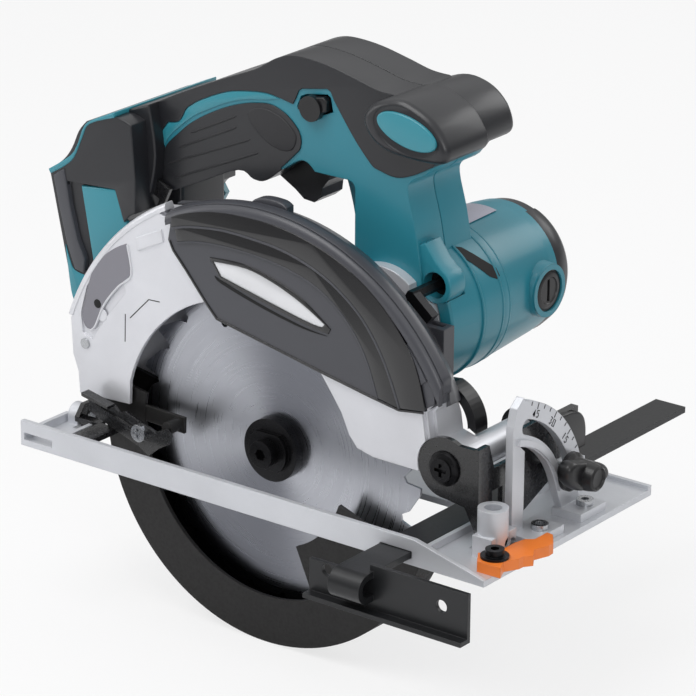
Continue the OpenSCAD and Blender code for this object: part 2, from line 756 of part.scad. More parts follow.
module spindle() color("slategray") body() {
    rod([0, 0], spindle_r, kerf / 2 + 0.02, mid_y);
    rod([0, 0], 8, bearing_y + bearing_w, mid_y + 0.3);
    across(mid_y + 0.3 - eps, lobe_end - 6) rotate(gear_line) gear_2d(slow_module, spindle_teeth, 0.9, 0.12);
    rod([0, 0], 4, lobe_end - 6 - eps, lobe_end - 1.6);
    rod([0, 0], spindle_r, -4, kerf / 2 + 0.03);
}

module inner_flange() color("dimgray") body() difference() {
    union() {
        rod([0, 0], 17, kerf / 2 + 0.01, 4.4);
        rod([0, 0], blade_bore / 2, -blade_t / 2, kerf / 2 + 0.02);
    }
    rod([0, 0], spindle_r, -5, 10);
}

module blade() color("lightgray") body() {
    across(-blade_t / 2, blade_t / 2) difference() {
        polygon(blade_pts);
        circle(blade_bore / 2);
        for (i = [0:3]) rotate(90 * i + 30) translate([blade_d / 2 - 20, 0]) circle(2);
    }
}

tooth_depth = 9.5;
tooth_pitch = 360 / blade_teeth;

// One tooth as [radius, angle]: tip, back, then the gullet
tooth_pts = [[blade_d / 2, 0], [blade_d / 2 - 0.3, -2.4], [blade_d / 2 - 3.2, -6], [blade_d / 2 - 5.5, -9.6],
    [blade_d / 2 - tooth_depth, -12.2], [blade_d / 2 - tooth_depth + 1.4, -14.3]];
blade_pts = [for (i = [0:blade_teeth - 1]) for (p = tooth_pts)
    p[0] * [cos(p[1] - tooth_pitch * i), sin(p[1] - tooth_pitch * i)]];

module outer_flange() color("black") body() difference() {
    union() {
        rod([0, 0], 15.3, -6.2, -blade_t / 2 - 0.01);
        intersection() {
            rod([0, 0], 11, -8.6, -6.2 + eps);
            translate([-20, -10, -9]) cube([40, 10, 18]);
        }
    }
    rod([0, 0], spindle_r, -4.02, 0);
    rod([0, 0], 4, -10, 0);
}

module blade_bolt() color("black") body() difference() {
    union() {
        rod([0, 0], 6.6, -13.6, -8.6);
        rod([0, 0], 4 - 0.02, -8.6 - eps, -4.02);
    }
    across(-14, -10.5) socket(3);
}

module arbor_bearing() color("silver") body()
    across(bearing_y, bearing_y + bearing_w - 0.02) ring(bearing_r - 0.01, spindle_r + 0.02);

// ---------- motor ----------

module motor_frame() {
    translate([motor_at[0], 0, motor_at[1]]) children();
}

can_y = 45;
can_end = 79;
cap_y = 108;

// Profile of revolution about the motor axis: [radius, y]
module turned(pts) {
    rotate([-90, 0, 0]) rotate_extrude() polygon(pts);
}

module motor_housing() color("teal") body() difference() {
    motor_frame() union() {
        turned([[motor_lobe_r + 0.8, motor_y], [motor_r - 3, motor_y], [motor_r - 2, motor_y + 1],
            [motor_r, 44], [motor_r, 60], [motor_back_r + 1, 100], [motor_back_r, cap_y],
            [motor_back_r - 3, cap_y], [motor_back_r - 2, 100], [motor_r - 3, 60], [motor_r - 3, 44],
            [motor_back_lobe_r + seat, lobe_end + 0.6], [motor_back_lobe_r + seat, motor_y + 2],
            [motor_lobe_r + 0.8, motor_y + 2]]);
        for (s = [-1, 1]) bar_boss(s);
    }
    motor_frame() for (s = [0, 180]) rotate([0, s, 0]) bar([brush_y, 0], brush_r + seat, 20, 60);
    rod(idler_at, slow_r + gear_play + 2 + seat, 0, lobe_end + gap);
    rod(key_at, 9 + seat, 0, 32.2);
    rod(lock_at, 6 + gap, 0, lobe_end + 5);
}

module bar_boss(s) {
    difference() {
        rotate([0, s > 0 ? 0 : 180, 0]) bar([brush_y, 0], brush_r + 2.6, motor_back_r - 3, boss_x);
        turned([[0, 40], [motor_back_r - 2, 40], [motor_back_r - 2, 130], [0, 130]]);
    }
}

boss_x = motor_r + 1.5;

module brush_caps() color("black") body() motor_frame() for (s = [0, 180]) rotate([0, s, 0]) difference() {
    union() {
        bar([brush_y, 0], brush_r - 0.05, boss_x - 6, boss_x - 1);
        bar([brush_y, 0], 4, 14.2, boss_x - 6 + eps);
    }
    translate([boss_x - 1, brush_y, 0]) cube([2, 1.6, 11], center = true);
}

module motor_end_cap() color("dimgray") body() motor_frame() difference() {
    turned([[0, cap_y + seat], [motor_back_r - 0.2, cap_y + seat], [motor_back_r - 1.5, cap_y + 7],
        [motor_back_r - 6, motor_end - 4], [motor_back_r - 13, motor_end], [0, motor_end]]);
    turned([[9.5, cap_y - 1], [9.5, cap_y + 2], [12.5, cap_y + 2], [12.5, cap_y - 1]]);
    turned([[12.5, cap_y - 1], [motor_back_r - 3, cap_y - 1], [motor_back_r - 4, cap_y + 6],
        [motor_back_r - 9, motor_end - 5], [12.5, motor_end - 4]]);
    rod([0, 0], 9.5, cap_y - 1, cap_y + 6);
    rod([0, 0], 5, cap_y - 1, cap_y + 8);
    for (a = [30:30:330]) rotate([0, a, 0]) translate([18, motor_end - 8, -1.2]) cube([7, 10, 2.4]);
}

module rating_plate() color("dimgray") body() motor_frame() difference() {
    turned([[plate_r(60) + 0.03, 60], [plate_r(60) + 0.6, 60], [plate_r(90) + 0.6, 90], [plate_r(90) + 0.03, 90]]);
    rotate([0, -20, 0]) translate([-60, 0, -60]) cube([120, 200, 60 + 29]);
}

// Radius of the motor housing at y, behind its widest part
function plate_r(y) = motor_r + (motor_back_r + 1 - motor_r) * (y - 60) / 40;

module stator() color("slategray") body() motor_frame() difference() {
    turned([[rotor_r + 0.8, can_y], [motor_r - 3 - seat, can_y], [motor_r - 3 - seat, 60],
        [plate_r(can_end) - 3.2, can_end], [rotor_r + 0.8, can_end]]);
}

module motor_bearings() color("silver") body() {
    rod_ring(motor_at, 11 - 0.01, shaft_r + 0.02, motor_bearing_y + seat, motor_bearing_y + motor_bearing_w);
    rod_ring(motor_at, 9.5 - 0.01, shaft_r + 0.02, cap_y + 0.6, cap_y + 6 - seat);
    rod_ring([0, 0], 8 - 0.01, 4 + 0.02, rear_bearing_y, lobe_end - 1.2 - seat);
}

module rod_ring(p, ro, ri, y0, y1) {
    difference() {
        rod(p, ro, y0, y1);
        rod(p, ri, y0 - 1, y1 + 1);
    }
}

pinion_y = housing_y + front_wall + 0.4;

module rotor_shaft() color("silver") body() motor_frame() {
    across(pinion_y, mid_y - 0.4) rotate(gear_line + 180 + 180 / pinion_teeth)
        gear_2d(fast_module, pinion_teeth, 0.85, 0.12);
    rod([0, 0], shaft_r, mid_y - 0.4 - eps, cap_y + 5.6);
}

module rotor_core() color("gray") body() motor_frame() across(can_y + 2, can_end) difference() {
    circle(rotor_r);
    circle(shaft_r);
    for (i = [0:11]) rotate(30 * i) translate([rotor_r - 5, -1.5]) square([6, 3]);
}

module commutator() color("peru") body() motor_frame() {
    across(86, 98) difference() {
        circle(13.5);
        circle(shaft_r);
    }
}

module cooling_fan() color("dimgray") body() motor_frame() difference() {
    union() {
        rod([0, 0], 9, 34, 43);
        rod([0, 0], 30, 34, 35.6);
        for (i = [0:11]) rotate([0, 30 * i, 0]) translate([8, 35.6 - eps, -0.8]) cube([21.5, 6.5, 1.6]);
    }
    rod([0, 0], shaft_r, 30, 50);
}

// ---------- handle ----------

// Side view of the grip, the front post and the head that carries the front knob
grip_pts = [[-100, 141], [-73, 153.5], [-49, 165.5], [-29, 174], [-15, 181], [-2, 184.5], [16, 183], [37, 177.5],
    [56, 177], [74, 170], [80, 158], [70, 144], [57, 138.5], [61, 131], [65.5, 115], [68.5, 98], [69, 84],
    [60, 70], [44, 70], [40, 90], [18, 100.5], [15.5, 115], [10, 129], [2, 136], [-10, 130], [-20, 121.5],
    [-27, 121], [-36, 123.5], [-60, 112.5], [-86, 101], [-100, 100]];

// Side view of the battery foot beside the case, and behind it
foot_top = [[-138.6, 108.5], [-130, 115.2], [-125.5, 121.5], [-120.5, 131.5], [-115, 136.5], [-96, 141.5],
    [-86, 136]];
foot_side_pts = concat(foot_top, [[-86, 104], [-89.5, 93], [-99.5, 78], [-107.5, 65.5], [-113, 54],
    [-117.5, 42], [-121, 42], [-124, 48]]);
foot_back_pts = concat(foot_top, [[-77, 106], [-77, 46], [-118, 42], [-121, 42], [-124, 48]]);

head_at = [67, 164.5];
recess_at = [-138.6, 108.5];
recess_tilt = 12.8;
recess_depth = 10;

// A slice with its edge drawn in, so that the shell is rounded towards its side
module slice(pts, d, y0, y1) {
    across(y0, y1) offset(r = -d) polygon(pts);
}

module grip_solid(s) {
    // s is -1 for the near half and 1 for the far half
    side = handle_y + s * grip_w / 2;
    steps = [[0, 5.5], [2, 3], [5, 1.2], [9, 0]];
    for (i = [0:2]) {
        a = side - s * steps[i][0];
        b = side - s * (steps[i + 1][0] + eps);
        slice(grip_pts, steps[i][1], min(a, b), max(a, b));
    }
    a = side - s * 9;
    slice(grip_pts, 0, min(a, handle_y), max(a, handle_y));
}

module head_solid(s) {
    end = s < 0 ? handle_y - 32 : handle_y + 29;
    for (k = [[0, 5], [2.5, 1.5], [7, 0]]) {
        a = end - s * k[0];
        across(min(a, handle_y), max(a, handle_y)) polygon(oval(head_at, 24 - k[1], 15.5 - k[1]));
    }
}

module handle_cut(s) {
    inner = handle_y + s * (grip_w / 2 - shell_wall);
    difference() {
        across(min(inner, handle_y) - (s > 0 ? 1 : 0), max(inner, handle_y) + (s < 0 ? 1 : 0)) difference() {
            offset(r = -shell_wall) polygon(grip_pts);
            translate(motor_at) circle(motor_r + shell_wall);
            translate(key_at) circle(9);
            translate(button_at) circle(button_r + 3);
        }
        // near wall of the post
        translate([9, 0, 60]) cube([80, shell_y + 1.2, 92]);
    }
    // trigger, switch and button
    across(handle_y - trigger_w / 2 - gap, handle_y + trigger_w / 2 + gap) offset(r = gap + 0.1)
        {
            polygon(trigger_sweep);
            polygon(trigger_pts);
        }
    rod(button_at, button_r + run, 0, 80);
    // motor
    rod(motor_at, motor_r + seat, 32, 120);
    difference() {
        rod(motor_at, motor_r + seat, 0, 33);
        rod(key_at, 9, 0, 60);
    }
    rod(key_at, 5.8, 18, 30);
}

module foot_cut(s) {
    inner = handle_y + s * (foot_w / 2 - shell_wall);
    across(min(inner, handle_y) - (s > 0 ? 1 : 0), max(inner, handle_y) + (s < 0 ? 1 : 0)) difference() {
        offset(r = -shell_wall) polygon(foot_side_pts);
        translate(recess_at) rotate(recess_tilt) translate([-1, -100]) square([recess_depth + 3, 97]);
    }
    // battery recess along the interface, open at its lower end
    translate([recess_at[0], handle_y - 30, recess_at[1]]) rotate([0, -recess_tilt, 0]) translate([-1, 0, -90])
        cube([recess_depth + 1, 60, 84]);
    // channel of the depth guide
    across(housing_y - 1, guide_y + guide_t + 1) translate(pivot_at)
        ring(guide_r + guide_half + 2, guide_r - guide_half - 2);
}

module handle_half(s) {
    a = s < 0 ? foot_near : handle_y;
    b = s < 0 ? handle_y : foot_far;
    difference() {
        union() {
            difference() {
                union() {
                    grip_solid(s);
                    head_solid(s);
                    // socket of the stored key
                    if (s < 0) rod(key_at, 9, shell_y, handle_y);
                    if (s < 0) across(shell_y, handle_y) hull() {
                        translate(key_at) circle(9, $fn = 32);
                        translate([61, 108]) circle(5, $fn = 32);
                    }
                }
                handle_cut(s);
            }
            difference() {
                union() {
                    across(a, b) polygon(foot_side_pts);
                    across(s < 0 ? housing_y : handle_y, s < 0 ? handle_y : grip_far) polygon(foot_back_pts);
                }
                foot_cut(s);
            }
        }
        across(-50, shell_y - 2) translate([10, 60]) square([80, 90]);
    }
}

module handle_right() color("teal") body() handle_half(-1);
module handle_left() color("teal") body() handle_half(1);

module grip_pads() color("dimgray") body() {
    across(grip_near - 1.6, grip_near - 0.02) offset(r = -7.5) polygon([[-88, 112], [-88, 138], [-62, 152],
        [-36, 164], [-16, 166], [-2, 155], [-2, 143], [-18, 130], [-36, 131], [-60, 120]]);
    across(grip_far + 0.02, grip_far + 1.6) offset(r = -7.5) polygon([[-88, 112], [-88, 138], [-62, 152],
        [-36, 164], [-16, 166], [-2, 155], [-2, 143], [-18, 130], [-36, 131], [-60, 120]]);
}

module knob_inserts() color("teal") body() {
    across(handle_y - 32 - 1, handle_y - 32 - 0.02) polygon(oval(head_at, 14, 7));
    across(handle_y + 29 + 0.02, handle_y + 29 + 1) polygon(oval(head_at, 14, 7));
}

panel_pts = [[-126, 103], [-104, 105], [-99, 84], [-109, 66], [-117, 52]];

module side_panels() color("teal") body() {
    across(foot_near - 1.2, foot_near - 0.02) polygon(panel_pts);
    across(foot_far + 0.02, foot_far + 1.2) polygon(panel_pts);
}

// Two rails that hold the battery, seated on the floor of the recess
module battery_rails() color("dimgray") body() translate([recess_at[0], 0, recess_at[1]]) rotate([0, -recess_tilt, 0])
    for (y = [handle_y - 30 + 0.02, handle_y + 30 - 5.02]) translate([3, y, -62]) cube([2.5, 5, 55]);

module terminal_block() color("black") body() translate([recess_at[0], 0, recess_at[1]]) rotate([0, -recess_tilt, 0]) {
    translate([4, handle_y - 16, -30]) cube([recess_depth - 4 - seat, 32, 23.5]);
    for (y = [-11, -4, 4, 11]) translate([1, handle_y + y - 0.4, -34]) cube([3.01, 0.8, 22]);
}

trigger_w = 16;
trigger_pts = [[-21, 121], [-14, 132.5], [-2, 136], [9, 131], [7, 124], [3.5, 119.5], [3, 115], [-1, 111.8],
    [-7, 112.3], [-12, 116]];
trigger_sweep = concat([for (p = trigger_pts) if (p[1] < 125) p], [[9, 131], [8, 140], [-4, 150], [-20, 148],
    [-24, 128]]);

module trigger() color("black") body()
    across(handle_y - trigger_w / 2, handle_y + trigger_w / 2) polygon(trigger_pts);

module switch() color("gray") body() {
    across(handle_y - 9, handle_y + 9) polygon([[-28, 150.5], [-28, 166], [-4, 172], [1, 152.5], [-8, 151.5]]);
}

module lock_off() color("black") body() {
    rod(button_at, button_r, grip_near - 2.5, grip_far + 2.5);
}

// Key for the blade bolt, pushed into its socket behind the case
module hex_key() color("dimgray") body() {
    across(-1, 30 - seat) translate(key_at) socket(key_r);
    // short leg, held along the case's shoulder
    across(-1, -1 + 1.732 * key_r) translate(key_at) rotate(-39.7) translate([0, -0.866 * key_r])
        square([14, 1.732 * key_r]);
}

key_r = 2.8;

// ---------- guard ----------

hub_r = 20;
guard_front = -19;
guard_rear = 170;

// A wedge between two angles, measured about the arbor
module wedge(a0, a1) {
    polygon(concat([[0, 0]], arc([0, 0], 200, a0, a1, 6)));
}

module lower_guard() color("black") body() difference() {
    union() {
        difference() {
            intersection() {
                rod([0, 0], guard_r, guard_y, guard_back_y);
                across(guard_y - 1, guard_back_y + 1) wedge(guard_rear - 360, guard_front);
            }
            rod([0, 0], guard_r - guard_wall, guard_y + guard_wall, guard_back_y - guard_wall);
            // opening of the outer wall
            across(guard_y - 1, guard_y + guard_wall + 0.5) difference() {
                circle(guard_open_r);
                difference() {
                    wedge(-66, 0);
                    circle(46);
                }
            }
        }
        // hub
        rod([0, 0], hub_r, bearing_y - 0.2, guard_back_y - 0.1);
        // arm with the lever's post
        across(guard_y + 0.2, guard_y + guard_wall - 0.2) rotate(178)
            translate([lever_post_r - 4, -4]) square([guard_open_r - lever_post_r + 10, 8]);
        rod(post_at, 3.2, lever_y + 1.6, guard_y + 1);
    }
    rod([0, 0], retainer_r + run, -5, 10);
}

post_at = lever_post_r * [cos(178), sin(178)];
lever_screw_at = [-66.5, -3];

// Bent steel lever, on the guard's post
module guard_lever() color("black") body() difference() {
    union() {
        across(lever_y, lever_y + 1.6) polygon([[-99, 9.5], [-83, 6], [-80, 3.5], [-76, 5], [-58, -1], [-50, 2.5],
            [-48.5, -1], [-49.5, -5.2], [-56, -9], [-62, -14], [-68, -10.5], [-91, -3], [-98.5, 0]]);
        across(lever_y - 5, lever_y + 0.5) polygon([[-99.2, 10.6], [-83, 7.2], [-83, 5.9], [-99, 9]]);
        across(lever_y - 1, lever_y + eps) polygon([[-94, 5], [-72, -1.5], [-72.5, -3.2], [-94.5, 3.4]]);
    }
    rod(lever_screw_at, 2, lever_y - 1, lever_y + 5);
}

module lever_screw() color("silver") body() cross_screw(lever_screw_at, 4.2, 1.98, 2.6, lever_y, 1.6);

// Coil that turns the guard back, between the case's back wall and the hub
spring_r = 24;
spring_band = 4;

module guard_spring() color("silver") body()
    across(guard_back_y + gap, case_back_y - seat) difference() {
        ring(spring_r + spring_band, spring_r);
        translate([0, -1]) square([60, 2]);
    }

// ---------- clamps and buttons on the body ----------

module depth_bolt() color("dimgray") body() difference() {
    union() {
        rod(depth_bolt_at, 4.4, case_back_y - 2.4, case_back_y - seat);
        rod(depth_bolt_at, depth_bolt_r - seat, case_back_y - 2 * seat, lever_nut_y + 7);
    }
}

lever_nut_y = guide_y + guide_t + gap;

module depth_lever() color("black") body() difference() {
    union() {
        rod(depth_bolt_at, 7, lever_nut_y, lever_nut_y + 6);
        translate([depth_bolt_at[0], lever_nut_y + 1.5, depth_bolt_at[1]]) rotate([0, 25, 0])
            translate([-38, 0, -3.5]) cube([38, 4, 7]);
    }
    rod(depth_bolt_at, depth_bolt_r + run, lever_nut_y - 1, lever_nut_y + 10);
}

module shaft_lock() color("black") body() {
    rod(lock_at, 2.5, lobe_end - 4, lobe_end + 9);
    rod(lock_at, 5.5, lobe_end + 4 + gap + 3, lobe_end + 11);
}

base_plate();
bevel_sector();
sector_screws();
top_guide();
guide_screw();
stop_screw();
bevel_pins();
front_bracket();
rear_bracket();
depth_guide();
pivot_screw();
bevel_bolt();
bevel_knob();
rip_fence();
fence_clamp();
blade_case();
case_cover();
case_screws();
chip_shield();
gear_housing();
motor_housing();
motor_end_cap();
brush_caps();
rating_plate();
stator();
handle_right();
handle_left();
grip_pads();
knob_inserts();
side_panels();
battery_rails();
terminal_block();
switch();
hex_key();
arbor_bearing();
motor_bearings();
guard_spring();
depth_bolt();
depth_lever();
spindle();
inner_flange();
blade();
outer_flange();
blade_bolt();
idler_gear();
rotor_shaft();
rotor_core();
commutator();
cooling_fan();
lower_guard();
guard_lever();
lever_screw();
trigger();
lock_off();
shaft_lock();
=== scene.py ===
import math

import bmesh
import bpy
from bpy.props import FloatProperty, FloatVectorProperty, PointerProperty
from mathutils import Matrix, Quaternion, Vector


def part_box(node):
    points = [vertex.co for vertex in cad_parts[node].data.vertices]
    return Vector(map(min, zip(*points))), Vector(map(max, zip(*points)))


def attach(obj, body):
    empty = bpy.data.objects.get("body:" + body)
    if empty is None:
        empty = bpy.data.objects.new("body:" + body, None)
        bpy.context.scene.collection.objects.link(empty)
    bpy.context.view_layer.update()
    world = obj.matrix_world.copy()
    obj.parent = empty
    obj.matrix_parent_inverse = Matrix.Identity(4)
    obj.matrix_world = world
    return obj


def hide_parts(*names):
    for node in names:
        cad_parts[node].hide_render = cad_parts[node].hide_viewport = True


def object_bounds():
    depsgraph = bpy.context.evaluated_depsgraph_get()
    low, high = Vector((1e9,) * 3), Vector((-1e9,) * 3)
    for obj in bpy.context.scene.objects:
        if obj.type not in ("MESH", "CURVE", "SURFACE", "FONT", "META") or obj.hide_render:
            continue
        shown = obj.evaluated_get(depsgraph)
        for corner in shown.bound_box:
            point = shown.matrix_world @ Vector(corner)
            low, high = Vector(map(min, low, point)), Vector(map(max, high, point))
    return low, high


bl_info = {
    "name": "Cordless circular saw",
    "version": (1, 0, 0),
    "blender": (4, 5, 0),
    "location": "View3D > Sidebar > Saw",
    "description": "Dresses the circular saw's frame with shells, grips, trims, finishes and a plain stage",
    "category": "Object",
}

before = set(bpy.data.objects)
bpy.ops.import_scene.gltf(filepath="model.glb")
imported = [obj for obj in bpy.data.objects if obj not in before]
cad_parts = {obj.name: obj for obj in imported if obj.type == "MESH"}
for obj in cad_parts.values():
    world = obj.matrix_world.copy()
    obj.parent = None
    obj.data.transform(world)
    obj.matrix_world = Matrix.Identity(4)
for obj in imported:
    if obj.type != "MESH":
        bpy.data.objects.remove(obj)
CAD_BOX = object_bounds()
MM = 0.001


def middle(node):
    """The middle of a node's box, in mm."""
    low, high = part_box(node)
    return (low + high) / 2 / MM


# places and sizes in mm: x forward, y from the blade towards the motor, z up
ARBOR = middle("blade")
MOTOR = middle("rotor_core")
LOWEST = CAD_BOX[0][2] / MM
# the plane where the handle's halves meet, and the outer faces of the handle and of the battery foot
SEAM = middle("trigger").y
GRIP_NEAR, GRIP_FAR = SEAM - 20.4, SEAM + 20.6
FOOT_NEAR, FOOT_FAR = SEAM - 37.5, SEAM + 37.5
# the tilt sector: its centre (y, z), its radius and its thickness
TILT = (-6.0, 6.0)
SECTOR_R, SECTOR_T = 64.0, 4.0


# ---------- colours and nodes ----------


def linear(code):
    """The linear colour of an sRGB hex code."""
    parts = [int(code[i : i + 2], 16) / 255 for i in (1, 3, 5)]
    return [p / 12.92 if p <= 0.04045 else ((p + 0.055) / 1.055) ** 2.4 for p in parts]


def tint(colour, level=1.0):
    """A linear colour, darkened or lightened, as a socket takes it."""
    return (*(min(1.0, c * level) for c in colour), 1.0)


def add(tree, kind, links=None, **settings):
    """Adds a node. links holds a value or an output socket for each input, by name or number."""
    node = tree.nodes.new(kind)
    for key, value in settings.items():
        setattr(node, key, value)
    for key, value in (links or {}).items():
        if isinstance(value, bpy.types.NodeSocket):
            tree.links.new(value, node.inputs[key])
        else:
            node.inputs[key].default_value = value
    return node


def start_finish(name):
    """An empty material, its nodes, and the place on the piece in metres."""
    material = bpy.data.materials.new(name)
    material.use_nodes = True
    tree = material.node_tree
    tree.nodes.clear()
    place = add(tree, "ShaderNodeTexCoord").outputs["Object"]
    return material, tree, place


def end_finish(material, tree, sockets):
    """Closes a material with its shader."""
    shader = add(tree, "ShaderNodeBsdfPrincipled", sockets)
    add(tree, "ShaderNodeOutputMaterial", {"Surface": shader.outputs[0]})
    return material


def soft_edges(tree, radius, height, depth, strength):
    """The normal of edges broken by the mould or the tumbler, with a fine relief on top."""
    edge = add(tree, "ShaderNodeBevel", {"Radius": radius * MM}, samples=4).outputs[0]
    return add(tree, "ShaderNodeBump", {"Height": height, "Distance": depth * MM, "Strength": strength,
        "Normal": edge}).outputs[0]


def moulded(name, colour, rough, grain=0.9, depth=0.02, shade=0.82, edge=0.5, coat=0.0):
    """Injection-moulded plastic: a spark-eroded grain of `grain` mm that breaks up the gloss, a slow change of
    tone from the flow of the melt, and edges that the mould has rounded."""
    material, tree, place = start_finish(name)
    colour = linear(colour) if isinstance(colour, str) else colour
    melt = add(tree, "ShaderNodeTexNoise", {"Vector": place, "Scale": 22.0, "Detail": 3.0,
        "Roughness": 0.5}).outputs["Fac"]
    tone = add(tree, "ShaderNodeMix", {0: melt, 6: tint(colour, shade), 7: tint(colour, 2 - shade)},
        data_type="RGBA").outputs[2]
    pits = add(tree, "ShaderNodeTexNoise", {"Vector": place, "Scale": 1 / (grain * MM),
        "Detail": 2.0}).outputs["Fac"]
    gloss = add(tree, "ShaderNodeMapRange", {"Value": melt, "To Min": rough - 0.05,
        "To Max": rough + 0.07}).outputs[0]
    normal = soft_edges(tree, edge, pits, depth, 0.6)
    return end_finish(material, tree, {"Base Color": tone, "Roughness": gloss, "Normal": normal, "IOR": 1.5,
        "Coat Weight": coat, "Coat Roughness": 0.12})


def metal(
    name, code, rough, metallic=1.0, grain=0.5, depth=0.02, edge=0.4, spread=0.08, scratch=(1, 1, 1), coat=0.0
):
    """Bare, plated or blackened metal: a cast, ground or tumbled grain of `grain` mm, drawn along its lay."""
    material, tree, place = start_finish(name)
    colour = linear(code)
    lay = add(tree, "ShaderNodeMapping", {"Vector": place, "Scale": scratch}).outputs[0]
    fine = add(tree, "ShaderNodeTexNoise", {"Vector": lay, "Scale": 1 / (grain * MM), "Detail": 3.0}).outputs["Fac"]
    broad = add(tree, "ShaderNodeTexNoise", {"Vector": place, "Scale": 30.0, "Detail": 4.0}).outputs["Fac"]
    tone = add(tree, "ShaderNodeMix", {0: broad, 6: tint(colour, 0.86), 7: tint(colour, 1.1)},
        data_type="RGBA").outputs[2]
    gloss = add(tree, "ShaderNodeMapRange", {"Value": fine, "From Min": 0.3, "From Max": 0.7,
        "To Min": max(0.03, rough - spread), "To Max": rough + spread}).outputs[0]
    normal = soft_edges(tree, edge, fine, depth, 0.5)
    return end_finish(material, tree, {"Base Color": tone, "Metallic": metallic, "Roughness": gloss,
        "Normal": normal, "Coat Weight": coat, "Coat Roughness": 0.1})


FINISHES = {}


def make_finishes():
    """Fills FINISHES with a material for each real finish."""
    c = bpy.context.scene.saw_colours
    f = FINISHES
    # die-cast aluminium, bead-blasted and clear-coated: pale satin with a soft sparkle
    f["cast"] = metal("cast_aluminium_satin", "#E0E1E6", 0.34, 0.35, 0.7, 0.02, 0.7, 0.06)
    # the same casting, left as cast in the pockets and the base: greyer, a little rougher
    f["cast_raw"] = metal("cast_aluminium_base", "#D5D7DC", 0.4, 0.45, 1.1, 0.03, 0.6, 0.07)
    # painted shade: a darker grey over the floor of the case's pocket, so that the pocket reads as sunk
    f["pocket"] = moulded("pocket_painted_shade_grey", "#85848C", 0.4, 1.2, 0.01, 0.95, 0.4)
    # vacuum-plated lens of the cover
    f["lens"] = metal("plated_lens", "#E8E9EC", 0.24, 0.4, 3.0, 0.0005, 0.3, 0.01)
    # smoked grey ABS, fine grain: the cover of the case
    f["cover"] = moulded("smoked_abs_cover", "#45464C", 0.36, 1.0, 0.02, 0.9, 0.8, 0.1)
    # polished black ABS inlay: sharp reflections
    f["piano"] = moulded("polished_black_abs", "#101013", 0.12, 1.4, 0.004, 0.95, 0.5, 0.5)
    # steel strip, powder coated gloss black: orange peel of about 2 mm
    f["black_steel"] = metal("powder_coated_black_steel", "#161618", 0.27, 0.0, 2.0, 0.008, 0.5, 0.02, coat=0.4)
    # the fence's bar and plate, satin dark grey
    f["fence"] = metal("satin_dark_grey_steel", "#222325", 0.34, 0.2, 1.4, 0.008, 0.5, 0.03)
    # cast guard with a rough black coat that has dulled in use
    f["guard"] = metal("black_coated_guard_casting", "#1D1C1C", 0.5, 0.25, 1.6, 0.08, 0.8, 0.1)
    # black-oxide screws, tumbled: dark, with a soft metallic edge
    f["screw_black"] = metal("blackened_steel", "#202022", 0.32, 0.8, 0.5, 0.01, 0.3)
    # bright zinc plate on screws, pins and washers: cool and clean
    f["screw_steel"] = metal("zinc_plated_steel", "#B9BBBE", 0.28, 1.0, 0.5, 0.01, 0.3)
    # shafts ground on their length: a fine lay that stretches each highlight
    f["ground"] = metal("ground_steel", "#9C9EA2", 0.25, 1.0, 0.4, 0.01, 0.2, scratch=(1, 0.05, 1))
    # hardened and polished bearing rings: near mirror
    f["bearing"] = metal("polished_bearing_steel", "#B4B6BA", 0.15, 1.0, 0.4, 0.005, 0.2)
    # hobbed gears with a film of oil: darker steel, uneven gloss
    f["gear"] = metal("oiled_gear_steel", "#7A7C80", 0.3, 1.0, 0.4, 0.01, 0.2)
    # glass-filled nylon, moulded and satin: the saw's body colour
    f["teal"] = moulded("glass_filled_nylon_teal", c.teal, 0.34, 0.8, 0.015, 0.93, 0.7, 0.15)
    f["trim"] = moulded("satin_nylon_trim_teal", c.trim, 0.3, 0.8, 0.01, 0.95, 0.4, 0.25)
    # black nylon shell with a satin, softly reflecting skin
    f["shell"] = moulded("black_nylon_shell", "#232428", 0.33, 0.7, 0.018, 0.9, 0.8, 0.1)
    # thermoplastic rubber over-moulding: stipple of about 0.8 mm, drawn coarse enough to show
    f["soft"] = moulded("stippled_elastomer_grip", "#2A2A2D", 0.52, 0.8, 0.09, 0.9, 0.6)
    # acetal levers, knobs and clamps: dense black with a low waxy gloss
    f["black"] = moulded("black_acetal", "#161618", 0.3, 1.2, 0.01, 0.9, 0.4)
    # bare foil plate with nothing on it: pale, faintly brushed
    f["label"] = metal("bare_foil_plate", "#B4B4C2", 0.35, 0.3, 0.6, 0.005, 0.1)
    # ABS guide, moulded in bright orange: even and satin
    f["orange"] = moulded("orange_abs", "#F08030", 0.36, 1.2, 0.012, 0.92, 0.5, 0.1)
    # stacked sheet-steel laminations: thin lines across the stack
    f["lamination"] = metal("stacked_laminations", "#4C4E52", 0.4, 0.9, 0.5, 0.05, 0.2, scratch=(0.05, 1, 0.05))
    # copper segments turned on a lathe: warm, lightly ringed
    f["copper"] = metal("turned_copper", "#B87850", 0.3, 1.0, 0.5, 0.01, 0.2)
    # pad-printed ink of the tilt scale: thin, matt and even
    f["scale"] = moulded("pad_printed_scale", "#2C2C30", 0.5, 1.0, 0.0, 1.0, 0.05)
    # painted shadow: near-black laid over the bottom of slots, sockets, holes, grooves and engraved marks, which no
    # light reaches
    f["shadow"] = moulded("painted_shadow_black", "#060607", 0.7, 1.0, 0.0, 1.0, 0.1)
    f["blade"] = blade_finish()


